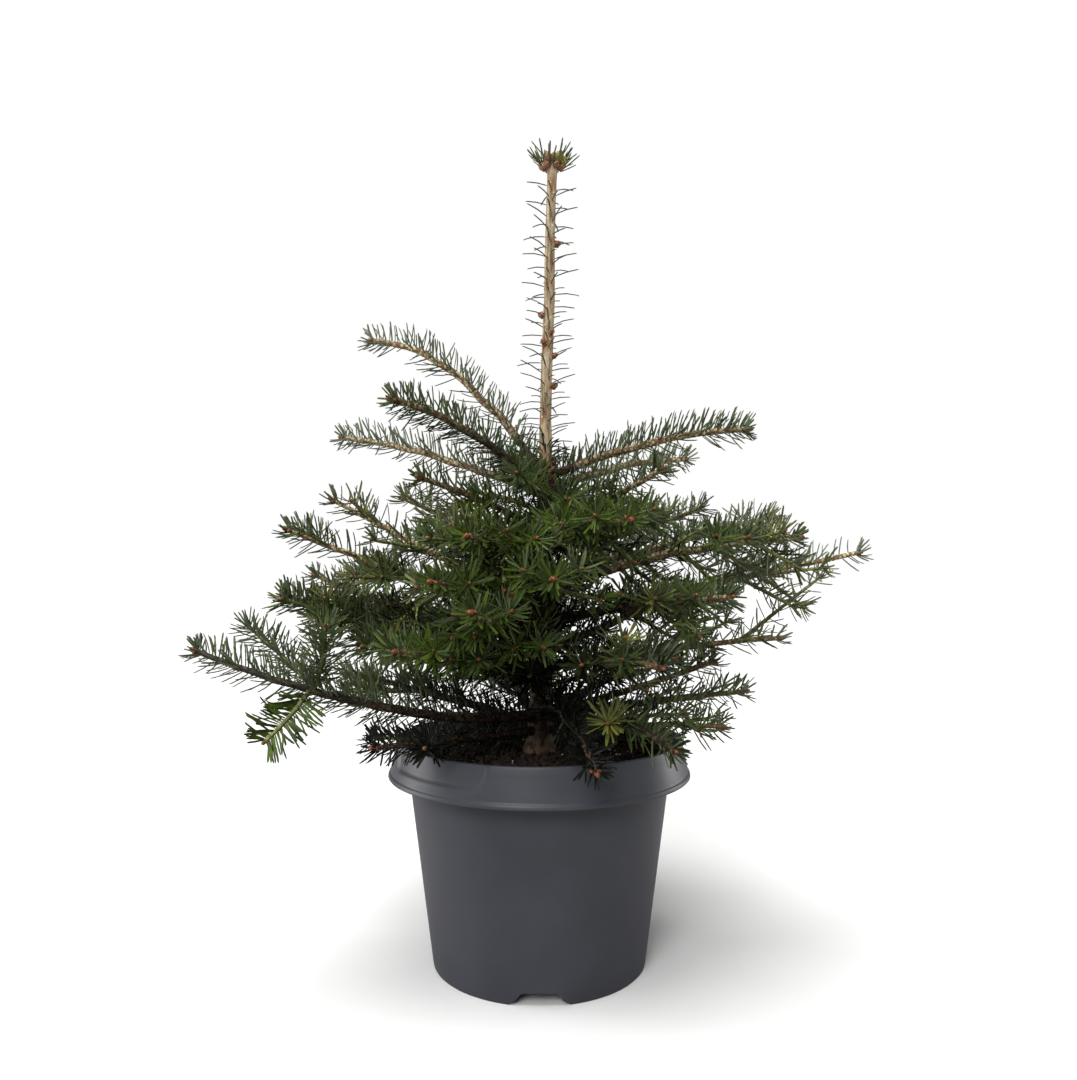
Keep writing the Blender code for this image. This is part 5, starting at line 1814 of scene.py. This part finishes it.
class FIR_OT_stage(bpy.types.Operator):
    """Sets the pale floor, the soft studio light and the camera at the photograph's viewing angle"""

    bl_idname = "fir.stage"
    bl_label = "Stage"

    def execute(self, context):
        settings = context.scene.fir_stage
        scene = context.scene
        mesh = bmesh.new()
        bmesh.ops.create_circle(mesh, cap_ends=True, segments=96, radius=9.0)
        data = bpy.data.meshes.new("studio_floor")
        mesh.to_mesh(data)
        mesh.free()
        data.materials.append(studio_floor(settings))
        floor = bpy.data.objects.new("studio_floor", data)
        scene.collection.objects.link(floor)

        world = bpy.data.worlds.new("white surround")
        world.use_nodes = True
        tree = world.node_tree
        tree.nodes.clear()
        white = (1.0, 1.0, 1.0, 1.0)
        seen = add(tree, "ShaderNodeBackground", {"Color": white, "Strength": settings.surround})
        given = add(tree, "ShaderNodeBackground", {"Color": white, "Strength": settings.ambient})
        straight = add(tree, "ShaderNodeLightPath").outputs["Is Camera Ray"]
        both = add(tree, "ShaderNodeMixShader", {}, {0: straight, 1: given.outputs[0], 2: seen.outputs[0]})
        add(tree, "ShaderNodeOutputWorld", {}, {"Surface": both.outputs[0]})
        scene.world = world
        lamps = (
            ("overhead_softbox", "SUN", (-0.30, -0.35, 1.9), settings.overhead, 36.0),
            ("front_softbox", "SUN", (-0.45, -1.60, 1.35), settings.front, 26.0),
            ("left_softbox", "AREA", (-1.3, 0.25, 0.35), settings.edge * 1.1, 0.7),
            ("right_softbox", "AREA", (1.3, 0.60, 0.30), settings.edge * 0.75, 0.6),
        )
        for name, kind, place, strength, spread in lamps:
            light = bpy.data.lights.new(name, kind)
            light.energy = strength
            if kind == "SUN":
                light.angle = math.radians(spread)
            else:
                light.shape = "RECTANGLE"
                light.size, light.size_y = 0.5, spread
            lamp = bpy.data.objects.new(name, light)
            lamp.location = place
            lamp.rotation_euler = (Vector((0.0, 0.0, 0.20)) - Vector(place)).to_track_quat("-Z", "Y").to_euler()
            scene.collection.objects.link(lamp)

        lens = bpy.data.cameras.new("photograph_view")
        lens.sensor_fit = "HORIZONTAL"
        lens.sensor_width = SENSOR_WIDTH
        lens.lens = SENSOR_WIDTH * FOCAL_PIXELS / FRAME_WIDTH
        lens.shift_x = (FRAME_WIDTH / 2 - PRINCIPAL_X) / FRAME_WIDTH
        lens.shift_y = (PRINCIPAL_Y - FRAME_HEIGHT / 2) / FRAME_WIDTH
        lens.clip_start = 0.01
        camera = bpy.data.objects.new("photograph_view", lens)
        camera.location = (0.0, -CAMERA_DISTANCE, CAMERA_HEIGHT)
        camera.rotation_euler = (math.radians(90.0), 0.0, 0.0)
        scene.collection.objects.link(camera)
        scene.camera = camera
        scene.view_settings.view_transform = "Standard"
        return {"FINISHED"}


class FIR_PT_panel(bpy.types.Panel):
    """Lists the settings and the steps of the plant"""

    bl_idname = "FIR_PT_panel"
    bl_label = "Korean Fir"
    bl_space_type = "VIEW_3D"
    bl_region_type = "UI"
    bl_category = "Fir"

    def draw(self, context):
        for attribute, _, operators in STEPS:
            box = self.layout.box()
            settings = getattr(context.scene, attribute)
            for name in settings.__annotations__:
                box.prop(settings, name)
            for operator in operators:
                box.operator(operator.bl_idname)


STEPS = (
    ("fir_stage", FirStageSettings, (FIR_OT_stage,)),
    ("fir_pot", FirPotSettings, (FIR_OT_pot,)),
    ("fir_mix", FirMixSettings, (FIR_OT_potting_mix,)),
    ("fir_bark", FirBarkSettings, (FIR_OT_trunk, FIR_OT_boughs)),
    ("fir_needles", FirNeedleSettings, (FIR_OT_needles, FIR_OT_leader_needles)),
    ("fir_buds", FirBudSettings, (FIR_OT_buds,)),
)


def register():
    for attribute, group, operators in STEPS:
        bpy.utils.register_class(group)
        setattr(bpy.types.Scene, attribute, PointerProperty(type=group))
        for operator in operators:
            bpy.utils.register_class(operator)
    bpy.utils.register_class(FIR_PT_panel)


def unregister():
    bpy.utils.unregister_class(FIR_PT_panel)
    for attribute, group, operators in reversed(STEPS):
        for operator in operators:
            bpy.utils.unregister_class(operator)
        delattr(bpy.types.Scene, attribute)
        bpy.utils.unregister_class(group)


def main():
    register()
    for operator in (
        bpy.ops.fir.stage,
        bpy.ops.fir.pot,
        bpy.ops.fir.potting_mix,
        bpy.ops.fir.trunk,
        bpy.ops.fir.boughs,
        bpy.ops.fir.needles,
        bpy.ops.fir.leader_needles,
        bpy.ops.fir.buds,
    ):
        operator()
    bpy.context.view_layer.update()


if __name__ == "__main__":
    main()
